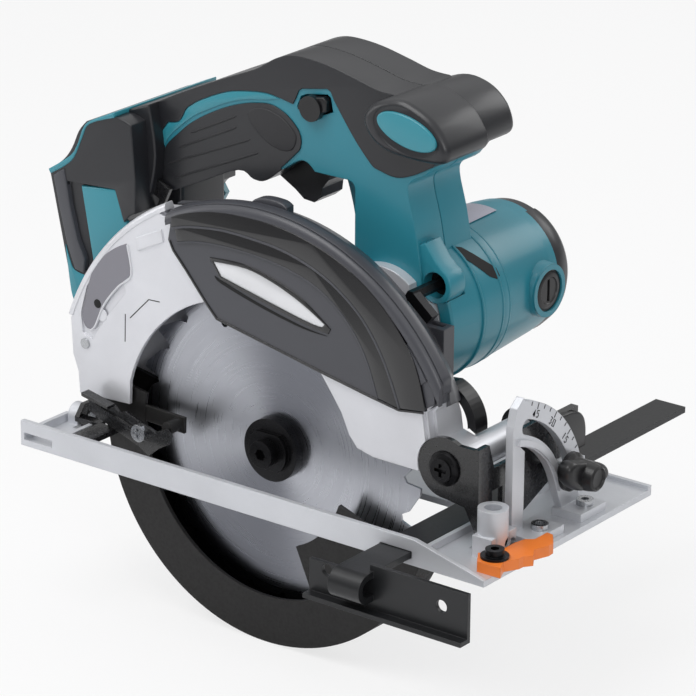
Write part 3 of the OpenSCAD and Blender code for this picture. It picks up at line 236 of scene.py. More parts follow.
def blade_finish():
    """Tensioned saw steel, ground in rings: the fine circular lay drags each reflection into a fan from the
    arbor, and a painted reflection of that fan, two pale and two dark sectors, is laid into the colour. The rings
    are 0.3 mm apart, and drawn at 0.9 mm so that they show."""
    material, tree, place = start_finish("ring_ground_saw_steel")
    centred = add(tree, "ShaderNodeVectorMath", {0: place, 1: tuple(ARBOR * MM)}, operation="SUBTRACT").outputs[0]
    flat = add(tree, "ShaderNodeVectorMath", {0: centred, 1: (1, 0, 1)}, operation="MULTIPLY").outputs[0]
    reach = add(tree, "ShaderNodeVectorMath", {0: flat}, operation="LENGTH").outputs["Value"]
    axes = add(tree, "ShaderNodeSeparateXYZ", {0: flat}).outputs
    turn = add(tree, "ShaderNodeMath", {0: axes[2], 1: axes[0]}, operation="ARCTAN2").outputs[0]
    polar = add(tree, "ShaderNodeCombineXYZ", {0: reach, 1: turn}).outputs[0]
    lay = add(tree, "ShaderNodeMapping", {"Vector": polar, "Scale": (1100.0, 1.4, 1.0)}).outputs[0]
    rings = add(tree, "ShaderNodeTexNoise", {"Vector": lay, "Scale": 1.0, "Detail": 2.0}).outputs["Fac"]
    # painted reflection: the fan's two pale and two dark sectors, painted into the colour
    fan = add(tree, "ShaderNodeMath", {0: turn, 1: 2.0}, operation="MULTIPLY").outputs[0]
    fan = add(tree, "ShaderNodeMath", {0: fan, 1: 0.75}, operation="ADD").outputs[0]
    fan = add(tree, "ShaderNodeMath", {0: fan}, operation="COSINE").outputs[0]
    fan = add(tree, "ShaderNodeMapRange", {"Value": fan, "From Min": -1.0, "From Max": 1.0, "To Min": 0.0,
        "To Max": 1.0}, interpolation_type="SMOOTHSTEP").outputs[0]
    tone = add(tree, "ShaderNodeMix", {0: fan, 6: tint(linear("#75777E")), 7: tint(linear("#B9BBC2"))},
        data_type="RGBA").outputs[2]
    gloss = add(tree, "ShaderNodeMapRange", {"Value": rings, "From Min": 0.25, "From Max": 0.75, "To Min": 0.24,
        "To Max": 0.36}).outputs[0]
    bump = add(tree, "ShaderNodeBump", {"Height": rings, "Distance": 0.02 * MM, "Strength": 0.5}).outputs[0]
    tangent = add(tree, "ShaderNodeTangent", direction_type="RADIAL", axis="Y").outputs[0]
    return end_finish(material, tree, {"Base Color": tone, "Metallic": 1.0, "Roughness": gloss, "Normal": bump,
        "Anisotropic": 0.6, "Tangent": tangent})


# ---------- modelling, as by hand ----------


def clear():
    """Leaves edit mode and deselects everything, the frame's nodes included."""
    if bpy.context.object and bpy.context.object.mode != "OBJECT":
        bpy.ops.object.mode_set(mode="OBJECT")
    bpy.ops.object.select_all(action="DESELECT")


def work_on(piece):
    """Opens one piece in edit mode."""
    clear()
    piece.select_set(True)
    bpy.context.view_layer.objects.active = piece
    bpy.ops.object.mode_set(mode="EDIT")


def named(name):
    """Names the object just made."""
    piece = bpy.context.object
    piece.name = piece.data.name = name
    return piece


def spot(axis, u, v, w):
    """A point in mm: (u, v) in the plane across the axis, w along it."""
    return Vector({"X": (w, u, v), "Y": (u, w, v), "Z": (u, v, w)}[axis]) * MM


def along(axis, w):
    """A step of w mm along an axis."""
    return tuple(Vector({"X": (w, 0, 0), "Y": (0, w, 0), "Z": (0, 0, w)}[axis]) * MM)


def flow(points, steps=4, closed=True):
    """A smooth line through points. A point with a third value stays a sharp corner."""
    n = len(points)
    line = []
    for i in range(n if closed else n - 1):
        around = [points[(i + k) % n] if closed else points[min(max(i + k, 0), n - 1)] for k in (-1, 0, 1, 2)]
        p0, p1, p2, p3 = around
        t1 = (0, 0) if len(p1) > 2 else ((p2[0] - p0[0]) / 2, (p2[1] - p0[1]) / 2)
        t2 = (0, 0) if len(p2) > 2 else ((p3[0] - p1[0]) / 2, (p3[1] - p1[1]) / 2)
        count = 1 if len(p1) > 2 and len(p2) > 2 else steps
        for s in range(count):
            t = s / count
            a, b, c, d = 2 * t**3 - 3 * t * t + 1, t**3 - 2 * t * t + t, 3 * t * t - 2 * t**3, t**3 - t * t
            line.append(tuple(a * p1[k] + b * t1[k] + c * p2[k] + d * t2[k] for k in (0, 1)))
    if not closed:
        line.append(tuple(points[-1][:2]))
    return line


def draw(name, points):
    """A new piece: a plane merged to one point, which is extruded from point to point."""
    clear()
    bpy.ops.mesh.primitive_plane_add(size=MM, location=points[0])
    piece = named(name)
    bpy.ops.object.mode_set(mode="EDIT")
    bpy.ops.mesh.select_mode(type="VERT")
    bpy.ops.mesh.select_all(action="SELECT")
    bpy.ops.mesh.merge(type="CENTER")
    for a, b in zip(points, points[1:]):
        bpy.ops.mesh.extrude_vertices_move(TRANSFORM_OT_translate={"value": b - a})
    return piece


def pick(piece, test):
    """Selects the faces that pass a test of their middle (mm) and normal."""
    bpy.ops.mesh.select_mode(type="FACE")
    bpy.ops.mesh.select_all(action="DESELECT")
    shape = bmesh.from_edit_mesh(piece.data)
    for face in shape.faces:
        if test((face.calc_center_median() + piece.location) / MM, face.normal):
            face.select = True
    shape.select_flush_mode()
    bmesh.update_edit_mesh(piece.data)


def slab(name, outline, low, high, axis="Y", rim_low=0.0, rim_high=0.0, steps=5):
    """An outline filled and pulled from low to high, with the rim of each end rounded."""
    piece = draw(name, [spot(axis, *p[:2], low) for p in outline])
    bpy.ops.mesh.select_all(action="SELECT")
    bpy.ops.mesh.edge_face_add()
    bpy.ops.mesh.select_mode(type="FACE")
    bpy.ops.mesh.select_all(action="SELECT")
    bpy.ops.mesh.extrude_region_move(TRANSFORM_OT_translate={"value": along(axis, high - low)})
    bpy.ops.mesh.select_all(action="SELECT")
    bpy.ops.mesh.normals_make_consistent(inside=False)
    k = "XYZ".index(axis)
    for end, rim in ((low, rim_low), (high, rim_high)):
        if rim > 0:
            pick(piece, lambda c, n: abs(c[k] - end) < 0.01 and abs(n[k]) > 0.9)
            bpy.ops.mesh.region_to_loop()
            bpy.ops.mesh.bevel(offset=rim * MM, segments=steps, affect="EDGES", profile=0.5, clamp_overlap=True)
    clear()
    return piece


def raised(name, outline, face, out, sunk, proud, rim, steps):
    """A slab on the face of a side, -1 near or 1 far, with its outer rim rounded."""
    low, high = sorted((face - out * sunk, face + out * proud))
    rims = (rim, 0) if out < 0 else (0, rim)
    return slab(name, outline, low, high, "Y", *rims, steps)


def rod(name, u, v, radius, low, high, axis="Y", rim=0.0, sides=48, steps=3):
    """A round bar with its rims rounded."""
    clear()
    turn = {"X": (0, math.pi / 2, 0), "Y": (math.pi / 2, 0, 0), "Z": (0, 0, 0)}[axis]
    bpy.ops.mesh.primitive_cylinder_add(vertices=sides, radius=radius * MM, depth=(high - low) * MM,
        location=spot(axis, u, v, (low + high) / 2), rotation=turn)
    piece = named(name)
    bpy.ops.object.transform_apply(location=False, rotation=True, scale=False)
    if rim > 0:
        work_on(piece)
        k = "XYZ".index(axis)
        pick(piece, lambda c, n: abs(n[k]) > 0.9)
        bpy.ops.mesh.region_to_loop()
        bpy.ops.mesh.bevel(offset=rim * MM, segments=steps, affect="EDGES", clamp_overlap=True)
    clear()
    return piece


def lathe(name, profile, centre, axis="Y", steps=64):
    """A closed profile of (radius, along) points, spun once round the axis through centre."""
    u, v = centre
    piece = draw(name, [spot(axis, u + r, v, w) for r, w in profile])
    bpy.ops.mesh.select_all(action="SELECT")
    if profile[0][0] > 0.01 or profile[-1][0] > 0.01:
        bpy.ops.mesh.edge_face_add()
        bpy.ops.mesh.select_mode(type="FACE")
        bpy.ops.mesh.delete(type="ONLY_FACE")
        bpy.ops.mesh.select_mode(type="VERT")
    bpy.ops.mesh.select_all(action="SELECT")
    bpy.ops.mesh.spin(steps=steps, angle=2 * math.pi, center=spot(axis, u, v, 0), axis=along(axis, 1000))
    bpy.ops.mesh.select_all(action="SELECT")
    bpy.ops.mesh.remove_doubles(threshold=0.00002)
    bpy.ops.mesh.normals_make_consistent(inside=False)
    clear()
    return piece


def carve(piece, *cutters, keep=False, how="DIFFERENCE"):
    """Cuts, joins or crosses a piece with others, which are used up."""
    for cutter in cutters:
        work_on(piece)
        bpy.ops.object.mode_set(mode="OBJECT")
        bpy.ops.object.modifier_add(type="BOOLEAN")
        cut = piece.modifiers[-1]
        cut.operation, cut.object, cut.solver = how, cutter, "EXACT"
        bpy.ops.object.modifier_apply(modifier=cut.name)
        if not keep:
            clear()
            cutter.select_set(True)
            bpy.context.view_layer.objects.active = cutter
            bpy.ops.object.delete()
    return piece


def ease(piece, width, segments=2, angle=35):
    """Breaks every sharp edge."""
    work_on(piece)
    bpy.ops.object.mode_set(mode="OBJECT")
    bpy.ops.object.modifier_add(type="BEVEL")
    bevel = piece.modifiers[-1]
    bevel.width, bevel.segments, bevel.limit_method = width * MM, segments, "ANGLE"
    bevel.angle_limit, bevel.use_clamp_overlap, bevel.harden_normals = math.radians(angle), True, False
    bpy.ops.object.modifier_apply(modifier=bevel.name)
    return piece


def settle(piece, finish, body="saw_body", smooth=32):
    """Places the piece in the frame, gives it its finish, and lets it ride on its body."""
    work_on(piece)
    bpy.ops.mesh.select_all(action="SELECT")
    bpy.ops.mesh.remove_doubles(threshold=0.000005)
    bpy.ops.mesh.normals_make_consistent(inside=False)
    bpy.ops.object.mode_set(mode="OBJECT")
    bpy.ops.object.transform_apply(location=True, rotation=True, scale=True)
    bpy.ops.object.shade_smooth_by_angle(angle=math.radians(smooth))
    piece.data.materials.clear()
    piece.data.materials.append(FINISHES[finish])
    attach(piece, body)
    clear()
    return piece


def arc(u, v, radius, start, stop, steps):
    """Points along an arc, from start to stop in degrees."""
    return [(u + radius * math.cos(math.radians(start + (stop - start) * i / steps)),
        v + radius * math.sin(math.radians(start + (stop - start) * i / steps))) for i in range(steps + 1)]


def oval(u, v, half_long, half_short, tilt, steps=48):
    """Points round an ellipse that is tilted by degrees."""
    c, s = math.cos(math.radians(tilt)), math.sin(math.radians(tilt))
    out = []
    for i in range(steps):
        a, b = half_long * math.cos(2 * math.pi * i / steps), half_short * math.sin(2 * math.pi * i / steps)
        out.append((u + a * c - b * s, v + a * s + b * c))
    return out


def band(line, width, side):
    """The outline of a band that follows a line, to one side of it or, with side 0, on both."""
    out = []
    for i, p in enumerate(line):
        a, b = line[max(i - 1, 0)], line[min(i + 1, len(line) - 1)]
        d = Vector((b[0] - a[0], b[1] - a[1])).normalized()
        out.append((p, (p[0] - d.y * width * side, p[1] + d.x * width * side) if side else None, d))
    if side:
        return [p for p, _, _ in out] + [q for _, q, _ in reversed(out)]
    half = width / 2
    return [(p[0] - d.y * half, p[1] + d.x * half) for p, _, d in out] + [
        (p[0] + d.y * half, p[1] - d.x * half) for p, _, d in reversed(out)]


# ---------- settings ----------


class SawColours(bpy.types.PropertyGroup):
    """Body colours of the saw"""

    teal: FloatVectorProperty(name="Body", description="Colour of the moulded housings", subtype="COLOR",
        size=3, min=0, max=1, default=linear("#2A8496"))
    trim: FloatVectorProperty(name="Trim", description="Colour of the trim and panels", subtype="COLOR",
        size=3, min=0, max=1, default=linear("#328C9C"))


class SawSizes(bpy.types.PropertyGroup):
    """Sizes of the shells' details"""

    grip_rim: FloatProperty(name="Grip rounding", description="Rounding of the handle's long edges",
        unit="LENGTH", min=0.002, max=0.012, default=0.0095)
    seam_gap: FloatProperty(name="Seam", description="Open joint between the two halves of the handle",
        unit="LENGTH", min=0.0, max=0.001, default=0.00025)
    knob_rim: FloatProperty(name="Knob rounding", description="Rounding of the front knob's ends",
        unit="LENGTH", min=0.001, max=0.01, default=0.0055)


class SawStage(bpy.types.PropertyGroup):
    """Light and floor"""

    key_power: FloatProperty(name="Key light", description="Power of the large soft lamp above", unit="POWER",
        min=0, max=500, default=9.0)
    fill_power: FloatProperty(name="Fill light", description="Power of the side lamps", unit="POWER",
        min=0, max=500, default=3.5)
    floor_size: FloatProperty(name="Floor", description="Radius of the floor", unit="LENGTH", min=1, max=20,
        default=6.0)


# ---------- handle ----------

# side views (x, z) in mm, where a third value keeps a corner sharp: the whole handle, its teal skin with the line
# along the grip, the core that stays black inside the skin, and the thin paler strip along the crease, a painted
# highlight
GRIP = [(-104, 150, 1), (-97, 158.5, 1), (-92, 160), (-73, 169.5), (-48, 181), (-26, 190.3), (-14.7, 197.2),
    (-6, 200.4), (3, 201), (16, 199.8), (31, 196.6), (44, 193.5), (54, 193, 1), (70, 188, 1), (82, 174, 1),
    (72, 160), (63, 154.5), (61, 148.5), (65.3, 132), (68.3, 115), (69.3, 102), (66, 92, 1), (46, 88, 1), (43, 104),
    (33, 113), (18, 117.5, 1), (16.5, 127), (13, 139), (9.5, 146.5), (2, 152), (-8, 147), (-19.5, 138.3),
    (-27, 137.4), (-36, 140), (-60, 129), (-86, 117.4), (-104, 112, 1)]
TEAL = [(-83.9, 137.4, 1), (-83.7, 145.1), (-82.0, 149.6), (-79.8, 152.9), (-77.7, 155.4, 1), (-74.5, 155.8),
    (-71.4, 157.0), (-69.3, 159.5), (-67.6, 162.7), (-66.0, 164.7, 1), (-60.3, 168.6), (-54.0, 171.8),
    (-46.8, 175.0), (-38.7, 177.7), (-26.5, 179.8), (-18.5, 180.3), (-11.6, 179.4), (-4.1, 177.9, 1),
    (-2.6, 180.4, 1), (-0.6, 185.0, 1), (1.4, 186.2, 1), (15.6, 188.7, 1), (17.6, 187.8, 1), (19.5, 184.1, 1),
    (22.8, 179.5, 1), (28.6, 171.6), (34.4, 164.6), (41.1, 157.8), (44.9, 156.3), (54.5, 154.7), (64, 157.5),
    (74, 163, 1), (90, 163, 1), (90, 60, 1), (-2, 60, 1), (-2, 138, 1), (-4, 144, 1), (-8.8, 141, 1), (-11, 146, 1),
    (-8.8, 148.0, 1), (-0.2, 156.6, 1), (0.8, 160.9), (-0.6, 165.5), (-4.5, 169.7), (-9.4, 172.9), (-16.4, 175.1),
    (-24.4, 174.5), (-34.5, 172.1), (-44.7, 168.2), (-55.0, 163.0), (-64.4, 157.1), (-71.8, 150.7), (-78.3, 144.5),
    (-82.1, 137.8, 1)]
CORE = [(-120, 40), (8, 40), (8, 141), (14, 150), (28, 150), (38, 172.8), (38, 230), (-120, 230)]
CREASE = [(-83.5, 138.6, 1), (-83.3, 145.1), (-81.6, 149.6), (-79.5, 152.6), (-77.4, 154.9, 1), (-74.5, 155.4),
    (-71.1, 156.6), (-69.0, 159.3), (-67.3, 162.4), (-65.8, 164.3, 1), (-60.2, 168.2), (-54.0, 171.4),
    (-46.8, 174.6), (-38.7, 177.3), (-26.5, 179.3), (-18.5, 179.8), (-12.0, 178.8, 1), (-20.0, 176.9),
    (-31.1, 175.0), (-42.3, 171.3), (-52.6, 166.4), (-61.9, 161.3), (-70.4, 154.7), (-77.9, 147.4),
    (-81.9, 139.8, 1)]


# how far the teal lies under the black, and how thick its skin is over the core
TEAL_SUNK, SKIN_NEAR, SKIN_FAR = 0.55, 7.0, 7.06


def handle_half(side, rim):
    """One half of the handle, black and teal, cut apart along the teal's outline."""
    gap = bpy.context.scene.saw_sizes.seam_gap / MM
    outline = flow(GRIP)
    if side == "near":
        low, high, rims = GRIP_NEAR, SEAM - gap, (rim, 0.35)
        teal_low, teal_high, core = low + TEAL_SUNK, high, (low + SKIN_NEAR, high + 9)
    else:
        low, high, rims = SEAM + gap, GRIP_FAR, (0.35, rim)
        teal_low, teal_high, core = low, high - TEAL_SUNK, (low - 9, high - SKIN_FAR)
    black = slab("handle_black_" + side, outline, low, high, "Y", *rims, steps=6)
    teal = slab("handle_teal_" + side, outline, teal_low, teal_high, "Y", *rims, steps=6)
    skin = slab("skin_cut", flow(TEAL), low - 5, high + 5)
    carve(skin, slab("core_cut", CORE, *core))
    carve(teal, skin, keep=True, how="INTERSECT")
    carve(black, skin)
    return black, teal


class SAW_OT_handle(bpy.types.Operator):
    """Models the two-part handle: black arch and grip, teal skin and post"""

    bl_idname = "saw.handle"
    bl_label = "Handle"

    def execute(self, context):
        rim = context.scene.saw_sizes.grip_rim / MM
        for side, out, face, node in (("near", -1, GRIP_NEAR, "handle_right"), ("far", 1, GRIP_FAR, "handle_left")):
            black, teal = handle_half(side, rim)
            if side == "near":
                # pocket of the lock-off button
                pocket = [(-1.8, 177.2), (0.3, 182.4), (3.7, 183.9), (15.5, 185.9), (17.4, 184.7), (18.8, 178.1),
                    (4.6, 172.2), (2.6, 175.1), (-0.8, 175.7)]
                carve(teal, slab("pocket", pocket, SEAM - 26, SEAM - 13))
            # the post's corner behind the guard, seen from above: (x, y)
            corner = [(-5, SEAM + 30 * out), (31.5, SEAM + 30 * out), (31.5, SEAM + 18 * out),
                (17.3, SEAM + 0.7 * out), (-5, SEAM + 0.7 * out)]
            carve(teal, slab("corner", corner, 100, 148, "Z", 0, 4, 4))
            settle(ease(black, 0.35), "shell")
            settle(ease(teal, 0.35), "teal")
            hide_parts(node)
            # a paler teal strip along the crease: painted highlight on its upper face
            swoosh = raised("handle_swoosh_" + side, flow(CREASE), face, out, 2, -0.05, 0.4, 2)
            settle(swoosh, "trim")
        return {"FINISHED"}


class SAW_OT_grip(bpy.types.Operator):
    """Models the grip's stippled thumb pads, the raised ribs and the lock-off button"""

    bl_idname = "saw.grip"
    bl_label = "Grip pads"

    def execute(self, context):
        ribs = [((-64.2, 152.5), (-36.3, 166.2)), ((-71.7, 143.8), (-36.4, 160.7)),
            ((-78.2, 134.8), (-28.4, 156.4)), ((-74, 128.6), (-23.5, 151.0))]
        pad = [(-29.7, 167.7), (-27.1, 171.4), (-22.1, 172.8), (-16.1, 172.2), (-9.2, 169.8), (-3.3, 165.1),
            (-1.8, 161.3), (-3.9, 156.4), (-8.4, 154.7), (-14.4, 155.3), (-20.3, 157.9), (-26.3, 162.5)]
        for side, out, face in (("near", -1, GRIP_NEAR), ("far", 1, GRIP_FAR)):
            for i, (a, b) in enumerate(ribs):
                # a strip that tapers to a point at each end
                d = Vector((b[0] - a[0], b[1] - a[1])).normalized() * 0.55
                line = [(a[0], a[1]), (a[0] + 4 * d.x + d.y, a[1] + 4 * d.y - d.x),
                    (b[0] - 4 * d.x + d.y, b[1] - 4 * d.y - d.x), (b[0], b[1]),
                    (b[0] - 4 * d.x - d.y, b[1] - 4 * d.y + d.x), (a[0] + 4 * d.x - d.y, a[1] + 4 * d.y + d.x)]
                rib = raised(f"grip_rib_{side}_{i}", line, face, out, 1, 0.35, 0.3, 2)
                settle(rib, "soft")
            thumb = raised("grip_pad_" + side, flow(pad), face, out, 1, 0.5, 0.45, 3)
            settle(thumb, "soft")
            if side == "near":
                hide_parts("grip_pads")
        button, low = middle("lock_off"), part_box("lock_off")[0].y / MM
        u, v = button.x, button.z
        block = slab("lock_off_block", [(u - 8.3, v - 1.6), (u - 6.8, v + 2.9), (u - 3.9, v + 4.6),
            (u + 6.6, v + 6.4), (u + 8.6, v + 4.6), (u + 8.2, v - 0.4), (u - 3.0, v - 5.6), (u - 5.4, v - 3.4)],
            low + 1.2, low + 5, "Y", 0.9, 0, 3)
        dimples = [rod(f"dimple_{i}", u + a, v + b, 0.55, low - 1, low + 1.7, "Y", 0, 12) for i, (a, b) in
            enumerate(((-4.5, 0.5), (-1.5, 1.2), (1.5, 2.0), (4.5, 2.8), (-0.5, -1.6), (2.5, -0.4)))]
        carve(block, *dimples)
        settle(block, "black", "lock_off")
        return {"FINISHED"}


class SAW_OT_knob(bpy.types.Operator):
    """Models the front knob in two halves with its oval inserts"""

    bl_idname = "saw.knob"
    bl_label = "Front knob"

    def execute(self, context):
        gap = context.scene.saw_sizes.seam_gap / MM
        rim = context.scene.saw_sizes.knob_rim / MM
        low, high = SEAM - 32, SEAM + 29
        nose = [(43.6, 183), (47, 189), (54, 193), (63, 195), (72, 193), (82, 188), (88, 181), (90.6, 175),
            (88, 170), (80, 168.4), (63, 168.8), (53, 171), (46.4, 176)]
        tail = [(44, 184), (50, 190.3), (61, 193.6), (72, 191.6), (80, 186.2), (84.6, 179), (85.2, 171.8),
            (79, 168.4), (63, 168.6), (52, 171), (45.6, 177)]
        # the near end is rounded less than the far one
        near = slab("knob_near", flow(nose), low, SEAM - gap, "Y", rim - 1.7, 0.4, 6)
        far = slab("knob_far", flow(tail), SEAM + gap, high, "Y", 0.4, rim + 3, 8)
        dish = slab("dish", oval(68.5, 181.5, 18.3, 10.6, -11), low - 3, low + 0.5, "Y", 0, 0.4, 2)
        carve(near, dish)
        settle(ease(near, 0.3), "shell")
        settle(far, "shell")
        insert = slab("knob_insert_near", oval(68.8, 181.6, 16.6, 7.2, -13), low - 0.9, low + 4, "Y", 0.9, 0, 4)
        settle(insert, "trim")
        other = slab("knob_insert_far", oval(67, 181, 14, 7, -6), high - 4, high + 0.7, "Y", 0, 0.8, 4)
        settle(other, "trim")
        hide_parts("knob_inserts")
        return {"FINISHED"}


def foot_opening(corner):
    """Cutter for the hollow that the battery slides into; corner is its upper rear edge (x, z)."""
    outline = [(-145, 150), corner, (-126.4, 117), (-111.5, 50), (-131, 40), (-150, 60)]
    return slab("opening", outline, SEAM - 30, SEAM + 30)


class SAW_OT_foot(bpy.types.Operator):
    """Models the battery foot: black body, grey rim strip, groove, teal panel and rim"""

    bl_idname = "saw.foot"
    bl_label = "Battery foot"

    def execute(self, context):
        body = [(-137.2, 124.6, 1), (-128.4, 131.1), (-122.9, 138), (-118.4, 147.2), (-113.5, 152.8, 1),
            (-96, 158.2), (-86, 156, 1), (-84, 130, 1), (-84, 113, 1), (-89.5, 109.5), (-99.5, 94.5), (-107.5, 82),
            (-113, 70.5), (-117.5, 58.5, 1), (-121, 58.5, 1), (-124, 64.5, 1)]
        for side, low, high in (("near", FOOT_NEAR, SEAM), ("far", SEAM, FOOT_FAR)):
            rims = (2.6, 0) if side == "near" else (0, 2.6)
            shell = slab("foot_" + side, flow(body), low + 0.01, high, "Y", *rims, steps=5)
            carve(shell, foot_opening((-136.4, 119.2)))
            if side == "near":
                groove = [(-126.3, 120.8), (-96.5, 122.6), (-90, 104), (-104, 76), (-115.4, 77.4), (-121.8, 86.9),
                    (-124.1, 101.9)]
                carve(shell, slab("groove", groove, low - 2, low + 2.2))
            settle(ease(shell, 0.4), "shell")
            if side == "near":
                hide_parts("side_panels")
        panel = [(-117.9, 120.0, 1), (-96.3, 122.6, 1), (-94.0, 117.3), (-91.8, 110), (-88, 104, 1), (-104, 76, 1),
            (-110.2, 78, 1)]
        for side, low, high, rims in (
            ("near", FOOT_NEAR + 0.4, FOOT_NEAR + 3, (0.9, 0)),
            ("far", FOOT_FAR - 3, FOOT_FAR + 0.6, (0, 0.9)),
        ):
            plate = slab("foot_panel_" + side, flow(panel), low, high, "Y", *rims, steps=3)
            settle(plate, "trim")
        # teal frame that the battery slides on, seen as a thin line round the interface
        outer = [(-137.6, 124.7, 1), (-124.4, 133.5), (-119.4, 140.0), (-114.9, 150.1), (-108.8, 154.7),
            (-96, 160.4, 1), (-96, 157.8, 1), (-111.4, 151.9), (-116.2, 144.0), (-121.4, 133.6), (-127.7, 127.9),
            (-136.4, 122.6, 1)]
        rim = slab("foot_frame", flow(outer), FOOT_NEAR - 0.5, FOOT_FAR + 0.5, "Y", 0.5, 0.5, 2)
        carve(rim, foot_opening((-136.2, 118.6)))
        settle(ease(rim, 0.25), "trim")
        corner = slab("foot_corner", flow([(-127.6, 89.1, 1), (-125.3, 82.1), (-122.6, 77.3), (-115.9, 76, 1),
            (-117.9, 60, 1), (-121.6, 60, 1), (-124.6, 66.5)]), FOOT_NEAR - 0.4, FOOT_NEAR + 3, "Y", 0.5, 0, 2)
        settle(corner, "trim")
        strip = slab("foot_strip", [(-134.4, 122.4), (-127.6, 126.8), (-126.3, 120.1), (-124.2, 108.5),
            (-120.2, 93.2), (-115.6, 84.1), (-116.3, 76.9), (-121.8, 77.8), (-126.4, 89.1), (-131.0, 107.1)],
            FOOT_NEAR - 0.7, FOOT_NEAR + 3, "Y", 0.6, 0, 3)
        settle(strip, "cover")
        # strut from the grip down to the case
        strut = slab("foot_strut", [(-91, 125, 1), (-77, 123, 1), (-77, 62, 1), (-91, 62, 1)], SEAM - 12, SEAM + 21,
            "Y", 2, 2, 4)
        settle(strut, "shell")
        # shoulder where the grip grows out of the foot
        shoulder = slab("foot_shoulder", flow([(-104, 156.5, 1), (-94, 160.3), (-84, 164, 1), (-80, 140),
            (-84, 120, 1), (-98, 116), (-104, 130)]), SEAM - 27, SEAM + 27, "Y", 11, 11, 7)
        settle(shoulder, "shell")
        return {"FINISHED"}


# ---------- cover and case ----------

# the cover's gloss band: its outer line, the line between its two steps, and its inner line
BAND_OUT = [(-49.5, 123.0), (-41.8, 126.2), (-26.1, 130.3), (-8.3, 131.9), (15.1, 131.2), (38.1, 125.9),
    (55.2, 118.4), (69.8, 108.4), (82.1, 95.6), (91.1, 81.2), (96.4, 62.4)]
BAND_STEP = [(-49.3, 118.1), (-38.4, 121.0), (-20.3, 123.3), (-2.6, 123.0), (15.0, 121.3), (32.3, 116.7),
    (47.1, 109.6), (60.7, 99.0), (70.9, 85.7), (77.6, 72.7), (82.4, 60.6)]
BAND_IN = [(-46.2, 111.6), (-32.5, 114.6), (-14.6, 115.6), (3.1, 114.8), (18.4, 112.6), (33.4, 108.2),
    (45.9, 101.0), (56.1, 91.0), (64.0, 78.5), (69.9, 62.6)]
COVER_EDGE = [(-50.6, 111.4), (-48.4, 107.0), (-41.0, 99.2), (-28.6, 85.0), (-23.0, 79.4), (-18.4, 78.6),
    (40.8, 67.0), (65.8, 62.4), (81.0, 59.9), (94.4, 61.8)]
LENS = [(-25.3, 106.4, 1), (-20.8, 100.0, 1), (26.2, 89.8), (37.6, 88.6, 1), (39.3, 90.3, 1), (26.3, 97.4),
    (10.0, 103.7), (-6.4, 107.2)]
LENS_EDGE = [(-27.4, 108.0, 1), (-21.2, 98.6, 1), (26.0, 88.2), (41.4, 86.3, 1), (42.6, 88.8, 1), (27.2, 99.2),
    (10.4, 105.5), (-8.0, 109.0)]


class SAW_OT_cover(bpy.types.Operator):
    """Dresses the case's cover: round shoulder with its seam, gloss band in two steps, lens and lip"""

    bl_idname = "saw.cover"
    bl_label = "Cover"

    def execute(self, context):
        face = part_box("case_cover")[0].y / MM + 0.7
        top = ARBOR.z
        sector = [(-51.5, 108), (-54.0, 124.5), (-55.5, 150), (60, 150), (103.6, 112), (103.6, 66.3), (60, 50),
            (0, 60), (-30, 84)]
        for name, profile in (
            ("cover_shoulder_near", [(114.6, -0.9), (116.6, -0.95), (118.2, -0.4), (119.3, 0.7), (119.6, 1.6),
            (114.6, 1.6)]),
            ("cover_shoulder_far", [(117.0, 2.0), (119.9, 2.0), (120.5, 4.2), (120.6, 7.4), (120.2, 8.2),
            (117.0, 8.2)]),
        ):
            ring = lathe(name, [(r, face + w) for r, w in profile], (0, top), "Y", 160)
            carve(ring, slab("sector", sector, face - 3, face + 10), how="INTERSECT")
            settle(ring, "cover", smooth=40)
        outer, step, inner = (flow(line, 4, False) for line in (BAND_OUT, BAND_STEP, BAND_IN))
        lowered = [(x, z - 0.6) for x, z in step[1:]]
        groove = [(-24.4, 99.6, 1), (-17.3, 97.2), (2.8, 91.6), (26.0, 86.6), (40.6, 85.0, 1), (26.2, 85.6),
            (2.8, 90.2), (-20.6, 96.6)]
        # outline, height over the face, depth under it, rounded rim and finish
        trims = (
            ("cover_band_outer", outer + step[::-1], 1.3, 0.3, 0.35, "piano"),
            ("cover_rail", band(step, 1.1, -1), 1.55, 0.3, 0.3, "cover"),
            ("cover_band_inner", lowered + inner[::-1], 1.0, 0.3, 0.3, "piano"),
            ("cover_rib", band(inner, 0.8, -1), 1.15, 0.3, 0.25, "cover"),
            ("cover_lip", band(COVER_EDGE, 1.3, -1), 0.5, 0.2, 0.3, "piano"),
            ("lens_surround", flow(LENS_EDGE), 0.45, 1.6, 0.3, "piano"),
            ("lens", flow(LENS), 0.1, 1.5, 0.2, "lens"),
            # the groove under the lens: a near-black strip of painted shadow
            ("lens_groove", flow(groove), 0.25, 0.2, 0, "shadow"),
        )
        for name, outline, height, depth, rim, finish in trims:
            piece = slab(name, outline, face - height, face + depth, "Y", rim, 0, 2)
            if name == "lens_surround":
                carve(piece, slab("lens_cut", flow(LENS), face - 2, face + 3))
            settle(piece, finish)
        bump = slab("cover_bump", flow([(-13, 133.0, 1), (-9, 137.0), (-3, 138.6), (5.8, 138.4), (9.5, 136.6, 1),
            (9.5, 130, 1), (-13, 130, 1)]), face + 9.5, face + 15.5, "Y", 1.0, 1.0, 3)
        settle(bump, "cover")
        return {"FINISHED"}


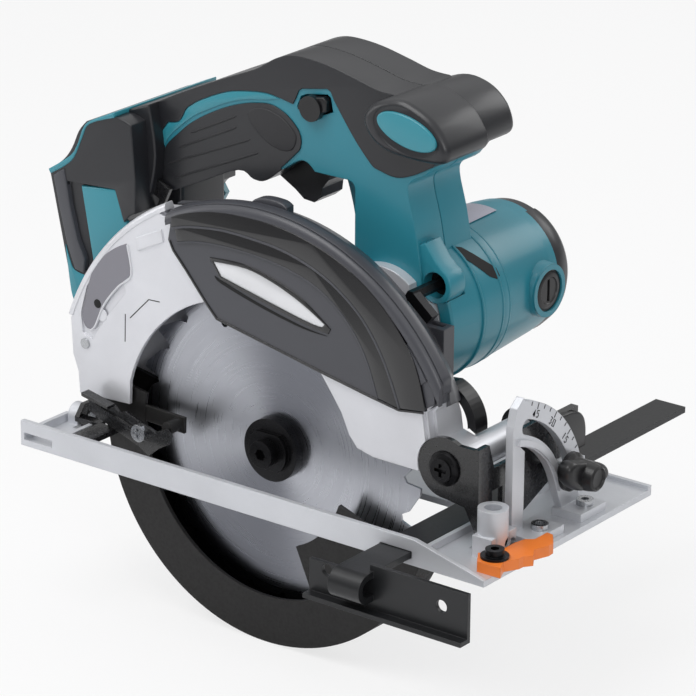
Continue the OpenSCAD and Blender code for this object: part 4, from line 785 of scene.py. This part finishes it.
class SAW_OT_case(bpy.types.Operator):
    """Dresses the blade case: bright rear rim, pocket, inspection hole, pad, screw and engraved marks, with painted
    shade greying the pocket and blackening the hole and the marks
    """

    bl_idname = "saw.case"
    bl_label = "Blade case"

    def execute(self, context):
        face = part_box("blade_case")[0].y / MM
        top = ARBOR.z
        ring = lathe("case_rim", [(r, face + w) for r, w in [(119.2, -0.25), (121.0, -0.3), (122.2, 0.5),
            (122.75, 2.0), (122.8, 5.8), (121.4, 6.2), (119.2, 6.0)]], (-1.5, top + 1), "Y", 160)
        carve(ring, slab("sector", [(-55.0, 124.5), (-60, 140), (-140, 140), (-140, 60), (-100, 60), (-50, 90)],
            face - 3, face + 10), how="INTERSECT")
        settle(ring, "cast", smooth=40)
        pocket = [(-80.4, 102.3), (-78.3, 101.5), (-76.6, 88.6), (-78.3, 86.2), (-83.7, 81.6), (-92.6, 70.3),
            (-98.3, 58.7), (-101.6, 55.5), (-105.4, 56.3), (-107.0, 62.0), (-104.2, 73.0), (-100.6, 84.1),
            (-96.1, 91.0), (-88.4, 97.7)]
        # floor of the pocket, drawn darker grey as painted shade
        floor = slab("case_pocket", flow(pocket, 3), face - 0.2, face + 0.5, "Y", 0.15, 0, 1)
        settle(floor, "pocket")
        brow = [(-78.4, 102.6), (-76.2, 88.0), (-84.0, 80.9), (-93.2, 69.8), (-98.9, 57.9), (-102.3, 54.6)]
        edge = slab("case_pocket_edge", band(flow(brow, 4, False), 1.0, 0), face - 0.6, face + 0.4, "Y", 0.35, 0, 2)
        settle(edge, "cast")
        pad = slab("case_pad", [(-72.7, 107.7), (-57.4, 114.6), (-56.0, 108.6), (-71.6, 101.0)], face - 0.9,
            face + 0.4, "Y", 0.5, 0, 3)
        settle(pad, "cast")
        for name, u, v, radius, deep, finish in (
            ("case_dimple", -95, 64, 3.3, 0.12, "cast"),
            # the inspection hole: a disc of painted shadow
            ("case_hole", -97.3, 69.2, 2.2, 0.35, "shadow"),
            ("case_screw", -105.4, 47.4, 2.6, 0.8, "screw_steel"),
        ):
            dot = rod(name, u, v, radius, face - deep, face + 0.5, "Y", 0.2, 32)
            settle(dot, finish)
        # engraved marks, drawn as thin proud strips of painted shadow
        for i, line in enumerate(([(-80.3, 67.8), (-80.7, 53.9)], [(-77.4, 66.5), (-65.8, 78.2), (-59.2, 78.5)])):
            mark = slab(f"case_mark_{i}", band(line, 0.5, 0), face - 0.06, face + 0.3)
            settle(mark, "shadow")
        return {"FINISHED"}


class SAW_OT_motor(bpy.types.Operator):
    """Dresses the motor: ring creases, the end cap's claw, brush boss and cap, the key's lobe and a window"""

    bl_idname = "saw.motor"
    bl_label = "Motor"

    def execute(self, context):
        u, v = MOTOR.x, MOTOR.z
        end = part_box("motor_end_cap")[1].y / MM
        upper = [(u - 60, v + 4), (u - 60, v + 60), (u + 60, v + 60), (u + 60, v - 40), (u + 14, v - 40)]
        for i, (w, r) in enumerate(((41.5, 36.2), (57.0, 35.9), (62.5, 35.6))):
            profile = [(33, w - 0.9), (r + 0.25, w - 0.6), (r + 0.5, w), (r + 0.25, w + 0.6), (33, w + 0.9)]
            ridge = lathe(f"motor_crease_{i}", profile, (u, v), "Y", 96)
            carve(ridge, slab("part", upper, w - 5, w + 5), how="INTERSECT")
            settle(ridge, "teal", smooth=40)
        claw = lathe("cap_claw", [(30.0, end - 20), (32.6, end - 20), (33.1, end - 17), (32.2, end - 11),
            (29.8, end - 7), (26.0, end - 7)], (u, v), "Y", 96)
        outline = [(u + 22, v + 50), (u + 60, v + 50), (u + 60, v - 16), (u + 30, v - 30), (u - 2, v - 60),
            (u - 20, v - 60), (u, v)]
        carve(claw, slab("part", outline, end - 30, end + 5), how="INTERSECT")
        settle(claw, "shell", smooth=40)
        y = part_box("brush_caps")[0].y / MM + 10
        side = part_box("brush_caps")[1].x / MM
        boss = lathe("brush_boss", [(9.9, side - 8), (13.4, side - 8), (13.0, side - 0.6), (12.2, side + 0.4),
            (10.7, side + 0.4), (9.9, side - 0.4)], (y, v), "X", 64)
        settle(boss, "teal", smooth=40)
        cap = lathe("brush_cap", [(0, side - 3), (9.6, side - 3), (9.6, side - 0.2), (8.6, side + 0.6),
            (6.6, side + 0.7), (6.2, side + 0.2), (0, side + 0.2)], (y, v), "X", 64)
        slot = [(y - 1.0, v - 5.4), (y + 1.0, v - 5.4), (y + 1.0, v + 5.4), (y - 1.0, v + 5.4)]
        carve(cap, slab("slot", slot, side - 1.2, side + 2, "X"))
        settle(cap, "black", smooth=40)
        # lobe that holds the stored key
        x, z = 75.5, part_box("hex_key")[0].z / MM + 10.9
        outline = arc(x, z, 8.9, -165, 62, 24) + [(x + 0.6, z + 11), (x - 5.5, z + 19), (x - 15, z + 15),
            (x - 13, z + 2)]
        lobe = slab("key_lobe", outline, 17.6, 29.6, "Y", 0.9, 1.2, 3)
        carve(lobe, rod("part", x, z, 6.1, 16, 31))
        settle(lobe, "teal", smooth=40)
        # the key's socket: a near-black lining of painted shadow
        socket = lathe("key_socket", [(3.2, 23.4), (6.0, 23.4), (6.0, 29.3), (3.2, 29.3)], (x, z), "Y", 48)
        settle(socket, "shadow", smooth=40)
        # small window over the fan's edge, filled with a near-black sheet of painted shadow
        window = lathe("motor_window", [(34.2, 38), (36.25, 38), (36.1, 60), (34.2, 60)], (u, v), "Y", 96)
        hole = [(40.8, 118.3), (45.7, 116.9), (52.4, 110.7), (58, 106.1), (58.5, 102.5), (55.8, 101.6),
            (51.3, 103.9), (41.4, 114.1)]
        carve(window, slab("part", hole, u + 5, u + 60, "X"), how="INTERSECT")
        settle(window, "shadow", smooth=40)
        return {"FINISHED"}


# ---------- front of the base ----------

# where the tilt scale starts, in degrees from level
SCALE_ZERO = 21
# the scale's numbers as strokes on a grid of 2 by 4
STROKES = {
    "0": [(0, 0), (2, 0), (2, 4), (0, 4), (0, 0)],
    "1": [(1, 0), (1, 4)],
    "3": [(0, 4), (2, 4), (1, 2.2), (2, 1.2), (1, 0), (0, 0.4)],
    "4": [(1.5, 0), (1.5, 4), (0, 1.2), (2.2, 1.2)],
    "5": [(2, 4), (0.2, 4), (0, 2.3), (1.4, 2.5), (2, 1.2), (1.2, 0), (0, 0.3)],
}


class SAW_OT_front(bpy.types.Operator):
    """Models the wing knob, the clamp's wing, the tilt scale, the pivot's washer and the stop's collar"""

    bl_idname = "saw.front"
    bl_label = "Front of the base"

    def execute(self, context):
        hub = middle("bevel_bolt")
        wing = slab("bevel_wing", flow([(26.0, 29.4), (27.0, 33.4), (30.8, 34.8), (36.5, 33.2), (42.5, 31.6),
            (50, 29.0), (57, 25.4), (59.4, 21.4), (56.8, 17.8), (49, 17.0), (42.5, 17.6), (35, 19.8),
            (28.4, 24.8)]), 137.4, 145.4, "X", 2.4, 2.8, 5)
        hub_body = lathe("bevel_hub", [(0, 134.1), (9.2, 134.1), (9.2, 136.2), (7.4, 137.6), (6.6, 146.5),
            (6.0, 149.6), (5.0, 150.4), (4.4, 149.4), (0, 149.0)], (hub.y, hub.z), "X", 48)
        carve(wing, hub_body, how="UNION")
        settle(ease(wing, 0.5, 2, 30), "black", "bevel_knob")
        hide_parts("bevel_knob")
        clamp = slab("clamp_wing", flow([(70, 12), (71, 26), (77, 30.6), (86, 31.4), (94, 30), (99.5, 26.5),
            (102, 20), (102, 10.5, 1), (92, 10.0), (84, 9.4), (74, 9.2)]), 99.2, 103.4, "X", 1.4, 1.4, 4)
        settle(clamp, "black", "fence_clamp")
        # tilt scale: strokes and numbers round the rim
        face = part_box("bevel_sector")[0].x / MM + SECTOR_T
        for k in range(11):
            a = math.radians(SCALE_ZERO + 5 * k)
            r0, r1 = (SECTOR_R - (3.2 if k % 3 == 0 else 2.2), SECTOR_R - 0.3)
            line = [(TILT[0] + r * math.cos(a), TILT[1] + r * math.sin(a)) for r in (r0, r1)]
            tick = slab(f"scale_tick_{k:02d}", band(line, 0.5, 0), face - 0.2, face + 0.12, "X")
            settle(tick, "scale", "base")
        for text in ("15", "30", "45"):
            a = math.radians(SCALE_ZERO + int(text))
            out, across_it = Vector((math.cos(a), math.sin(a))), Vector((math.sin(a), -math.cos(a)))
            for j, digit in enumerate(text):
                corner = Vector(TILT) + out * (SECTOR_R - 7.0) + across_it * (-2.6 + 3.0 * j)
                line = [tuple(corner + across_it * (x * 0.85) + out * (y * 0.8)) for x, y in STROKES[digit]]
                number = slab(f"scale_{text}_{j}", band(line, 0.5, 0), face - 0.2, face + 0.14, "X")
                settle(number, "scale", "base")
        pivot = middle("pivot_screw")
        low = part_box("pivot_screw")[0].y / MM
        washer = lathe("pivot_washer", [(4.4, low + 0.6), (7.6, low + 1.9), (8.2, low + 2.9), (8.2, low + 3.3),
            (4.4, low + 3.3)], (pivot.x, pivot.z), "Y", 48)
        settle(washer, "screw_black")
        stop = middle("stop_screw")
        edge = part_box("stop_screw")[1].x / MM
        ring = lathe("stop_collar", [(2.7, edge - 4), (5.4, edge - 4), (5.4, edge - 0.6), (4.9, edge), (3.1, edge),
            (2.7, edge - 0.5)], (stop.y, stop.z), "X", 40)
        settle(ring, "cast", "base")
        return {"FINISHED"}


# ---------- castings and finishes ----------

# the frame's own nodes, by finish
STAYS = {
    "cast_raw": "base_plate bevel_sector",
    "screw_steel": "sector_screws bevel_pins bevel_bolt case_screws guard_spring depth_bolt inner_flange "
        "lever_screw",
    "orange": "top_guide",
    "screw_black": "guide_screw stop_screw pivot_screw hex_key outer_flange blade_bolt",
    "black_steel": "front_bracket rear_bracket depth_guide fence_clamp guard_lever",
    "black": "bevel_knob chip_shield brush_caps battery_rails terminal_block switch depth_lever cooling_fan "
        "trigger lock_off shaft_lock",
    "fence": "rip_fence",
    "cast": "blade_case gear_housing",
    "cover": "case_cover",
    "teal": "motor_housing",
    "shell": "motor_end_cap handle_right handle_left",
    "label": "rating_plate",
    "lamination": "stator rotor_core",
    "soft": "grip_pads",
    "trim": "knob_inserts side_panels",
    "bearing": "arbor_bearing motor_bearings",
    "ground": "spindle rotor_shaft",
    "blade": "blade",
    "gear": "idler_gear",
    "copper": "commutator",
    "guard": "lower_guard",
}


class SAW_OT_finishes(bpy.types.Operator):
    """Gives every node of the frame its finish"""

    bl_idname = "saw.finishes"
    bl_label = "Finishes"

    def execute(self, context):
        make_finishes()
        for finish, names in STAYS.items():
            for name in names.split():
                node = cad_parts[name]
                node.data.materials.clear()
                node.data.materials.append(FINISHES[finish])
        return {"FINISHED"}


# ---------- stage ----------


def camera_turn(azimuth=37.27, elevation=20.37, roll=-0.35):
    """Euler angles of a camera that looks at the blade's side from the front, down on the saw."""
    a, e = math.radians(azimuth), math.radians(elevation)
    look = Vector((-math.sin(a) * math.cos(e), math.cos(a) * math.cos(e), -math.sin(e)))
    return (look.to_track_quat("-Z", "Y") @ Quaternion((0, 0, 1), math.radians(-roll))).to_euler()


class SAW_OT_stage(bpy.types.Operator):
    """Sets the pale floor, the soft lamps and the camera"""

    bl_idname = "saw.stage"
    bl_label = "Stage"

    def execute(self, context):
        settings = context.scene.saw_stage
        clear()
        bpy.ops.mesh.primitive_circle_add(vertices=96, radius=settings.floor_size, fill_type="NGON",
            location=(0, 0, (LOWEST - 0.4) * MM))
        floor = named("floor")
        material, tree, place = start_finish("painted_studio_floor")
        grain = add(tree, "ShaderNodeTexNoise", {"Vector": place, "Scale": 3.0, "Detail": 2.0}).outputs["Fac"]
        tone = add(tree, "ShaderNodeMix", {0: grain, 6: tint(linear("#F1F1F2")), 7: tint(linear("#F5F5F6"))},
            data_type="RGBA").outputs[2]
        paint = add(tree, "ShaderNodeBsdfPrincipled", {"Base Color": tone, "Roughness": 0.8}).outputs[0]
        seen = add(tree, "ShaderNodeLightPath").outputs["Is Camera Ray"]
        lift = add(tree, "ShaderNodeEmission", {"Color": (1, 1, 1, 1), "Strength": 1.0}).outputs[0]
        part = add(tree, "ShaderNodeMath", {0: seen, 1: 0.75}, operation="MULTIPLY").outputs[0]
        mix = add(tree, "ShaderNodeMixShader", {0: part, 1: paint, 2: lift}).outputs[0]
        add(tree, "ShaderNodeOutputMaterial", {"Surface": mix})
        floor.data.materials.append(material)

        world = bpy.data.worlds.new("studio")
        context.scene.world = world
        world.use_nodes = True
        tree = world.node_tree
        tree.nodes.clear()
        rays = add(tree, "ShaderNodeLightPath").outputs
        way = add(tree, "ShaderNodeTexCoord").outputs["Generated"]
        up = add(tree, "ShaderNodeSeparateXYZ", {0: way}).outputs[2]
        # a studio: a pale floor below, a darker band at eye level, a bright ceiling
        room = add(tree, "ShaderNodeValToRGB", {"Fac": add(tree, "ShaderNodeMapRange",
            {"Value": up, "From Min": -1.0}).outputs[0]})
        ramp = room.color_ramp
        ramp.elements[0].position, ramp.elements[0].color = 0.0, (0.75, 0.75, 0.75, 1)
        ramp.elements[1].position, ramp.elements[1].color = 1.0, (1, 1, 1, 1)
        for height, level in ((0.42, 0.7), (0.52, 0.28), (0.64, 0.34), (0.78, 0.95)):
            ramp.elements.new(height).color = (level, level, level, 1)
        glow = add(tree, "ShaderNodeMath", {0: room.outputs[0], 1: 0.95}, operation="MULTIPLY").outputs[0]
        seen = add(tree, "ShaderNodeMath", {0: rays["Is Camera Ray"], 1: rays["Is Transmission Ray"]},
            operation="MAXIMUM").outputs[0]
        diffuse = add(tree, "ShaderNodeMath", {0: glow, 1: 0.72}, operation="MULTIPLY").outputs[0]
        part = add(tree, "ShaderNodeMix", {0: rays["Is Glossy Ray"], 2: diffuse, 3: glow},
            data_type="FLOAT").outputs[0]
        strength = add(tree, "ShaderNodeMath", {0: part, 1: seen}, operation="MAXIMUM").outputs[0]
        sky = add(tree, "ShaderNodeBackground", {"Color": (1, 1, 1, 1), "Strength": strength}).outputs[0]
        add(tree, "ShaderNodeOutputWorld", {"Surface": sky})

        for name, place, aim, size, power in (
            ("key_lamp", (-0.25, -0.55, 1.35), (0, 0.05, 0.06), 0.9, settings.key_power),
            ("side_lamp", (-1.5, -0.7, 0.5), (0, 0, 0.06), 0.7, settings.fill_power),
            ("front_lamp", (1.3, -0.9, 0.75), (0.02, 0.02, 0.05), 0.5, settings.fill_power),
            ("rear_lamp", (0.5, 1.5, 0.9), (0, 0, 0.1), 0.7, settings.fill_power),
        ):
            clear()
            bpy.ops.object.light_add(type="AREA", location=place)
            lamp = bpy.context.object
            lamp.name = name
            lamp.data.size = size
            lamp.data.energy = power
            lamp.rotation_euler = (Vector(aim) - Vector(place)).to_track_quat("-Z", "Y").to_euler()

        clear()
        bpy.ops.object.camera_add(location=(1.035, -1.310, 0.691))
        camera = bpy.context.object
        camera.name = "studio_camera"
        camera.data.lens, camera.data.sensor_width = 200.5, 36.0
        camera.data.shift_x, camera.data.shift_y = 0.0052, -0.0167
        camera.rotation_euler = camera_turn()
        camera.data.clip_end = 50.0
        context.scene.camera = camera
        context.scene.view_settings.view_transform = "Standard"
        return {"FINISHED"}


class SAW_PT_panel(bpy.types.Panel):
    """Shows the saw's settings and a button for each step"""

    bl_idname = "SAW_PT_panel"
    bl_label = "Circular saw"
    bl_space_type = "VIEW_3D"
    bl_region_type = "UI"
    bl_category = "Saw"

    def draw(self, context):
        for group in (context.scene.saw_colours, context.scene.saw_sizes, context.scene.saw_stage):
            box = self.layout.box()
            for name in group.__annotations__:
                box.prop(group, name)
        for step in STEPS:
            self.layout.operator(step.bl_idname)


STEPS = (SAW_OT_finishes, SAW_OT_handle, SAW_OT_grip, SAW_OT_knob, SAW_OT_foot, SAW_OT_cover, SAW_OT_case,
    SAW_OT_motor, SAW_OT_front, SAW_OT_stage)
CLASSES = (SawColours, SawSizes, SawStage, *STEPS, SAW_PT_panel)


def register():
    for item in CLASSES:
        bpy.utils.register_class(item)
    bpy.types.Scene.saw_colours = PointerProperty(type=SawColours)
    bpy.types.Scene.saw_sizes = PointerProperty(type=SawSizes)
    bpy.types.Scene.saw_stage = PointerProperty(type=SawStage)


def unregister():
    del bpy.types.Scene.saw_colours, bpy.types.Scene.saw_sizes, bpy.types.Scene.saw_stage
    for item in reversed(CLASSES):
        bpy.utils.unregister_class(item)


def main():
    register()
    for step in STEPS:
        group, name = step.bl_idname.split(".")
        getattr(getattr(bpy.ops, group), name)()


if __name__ == "__main__":
    main()
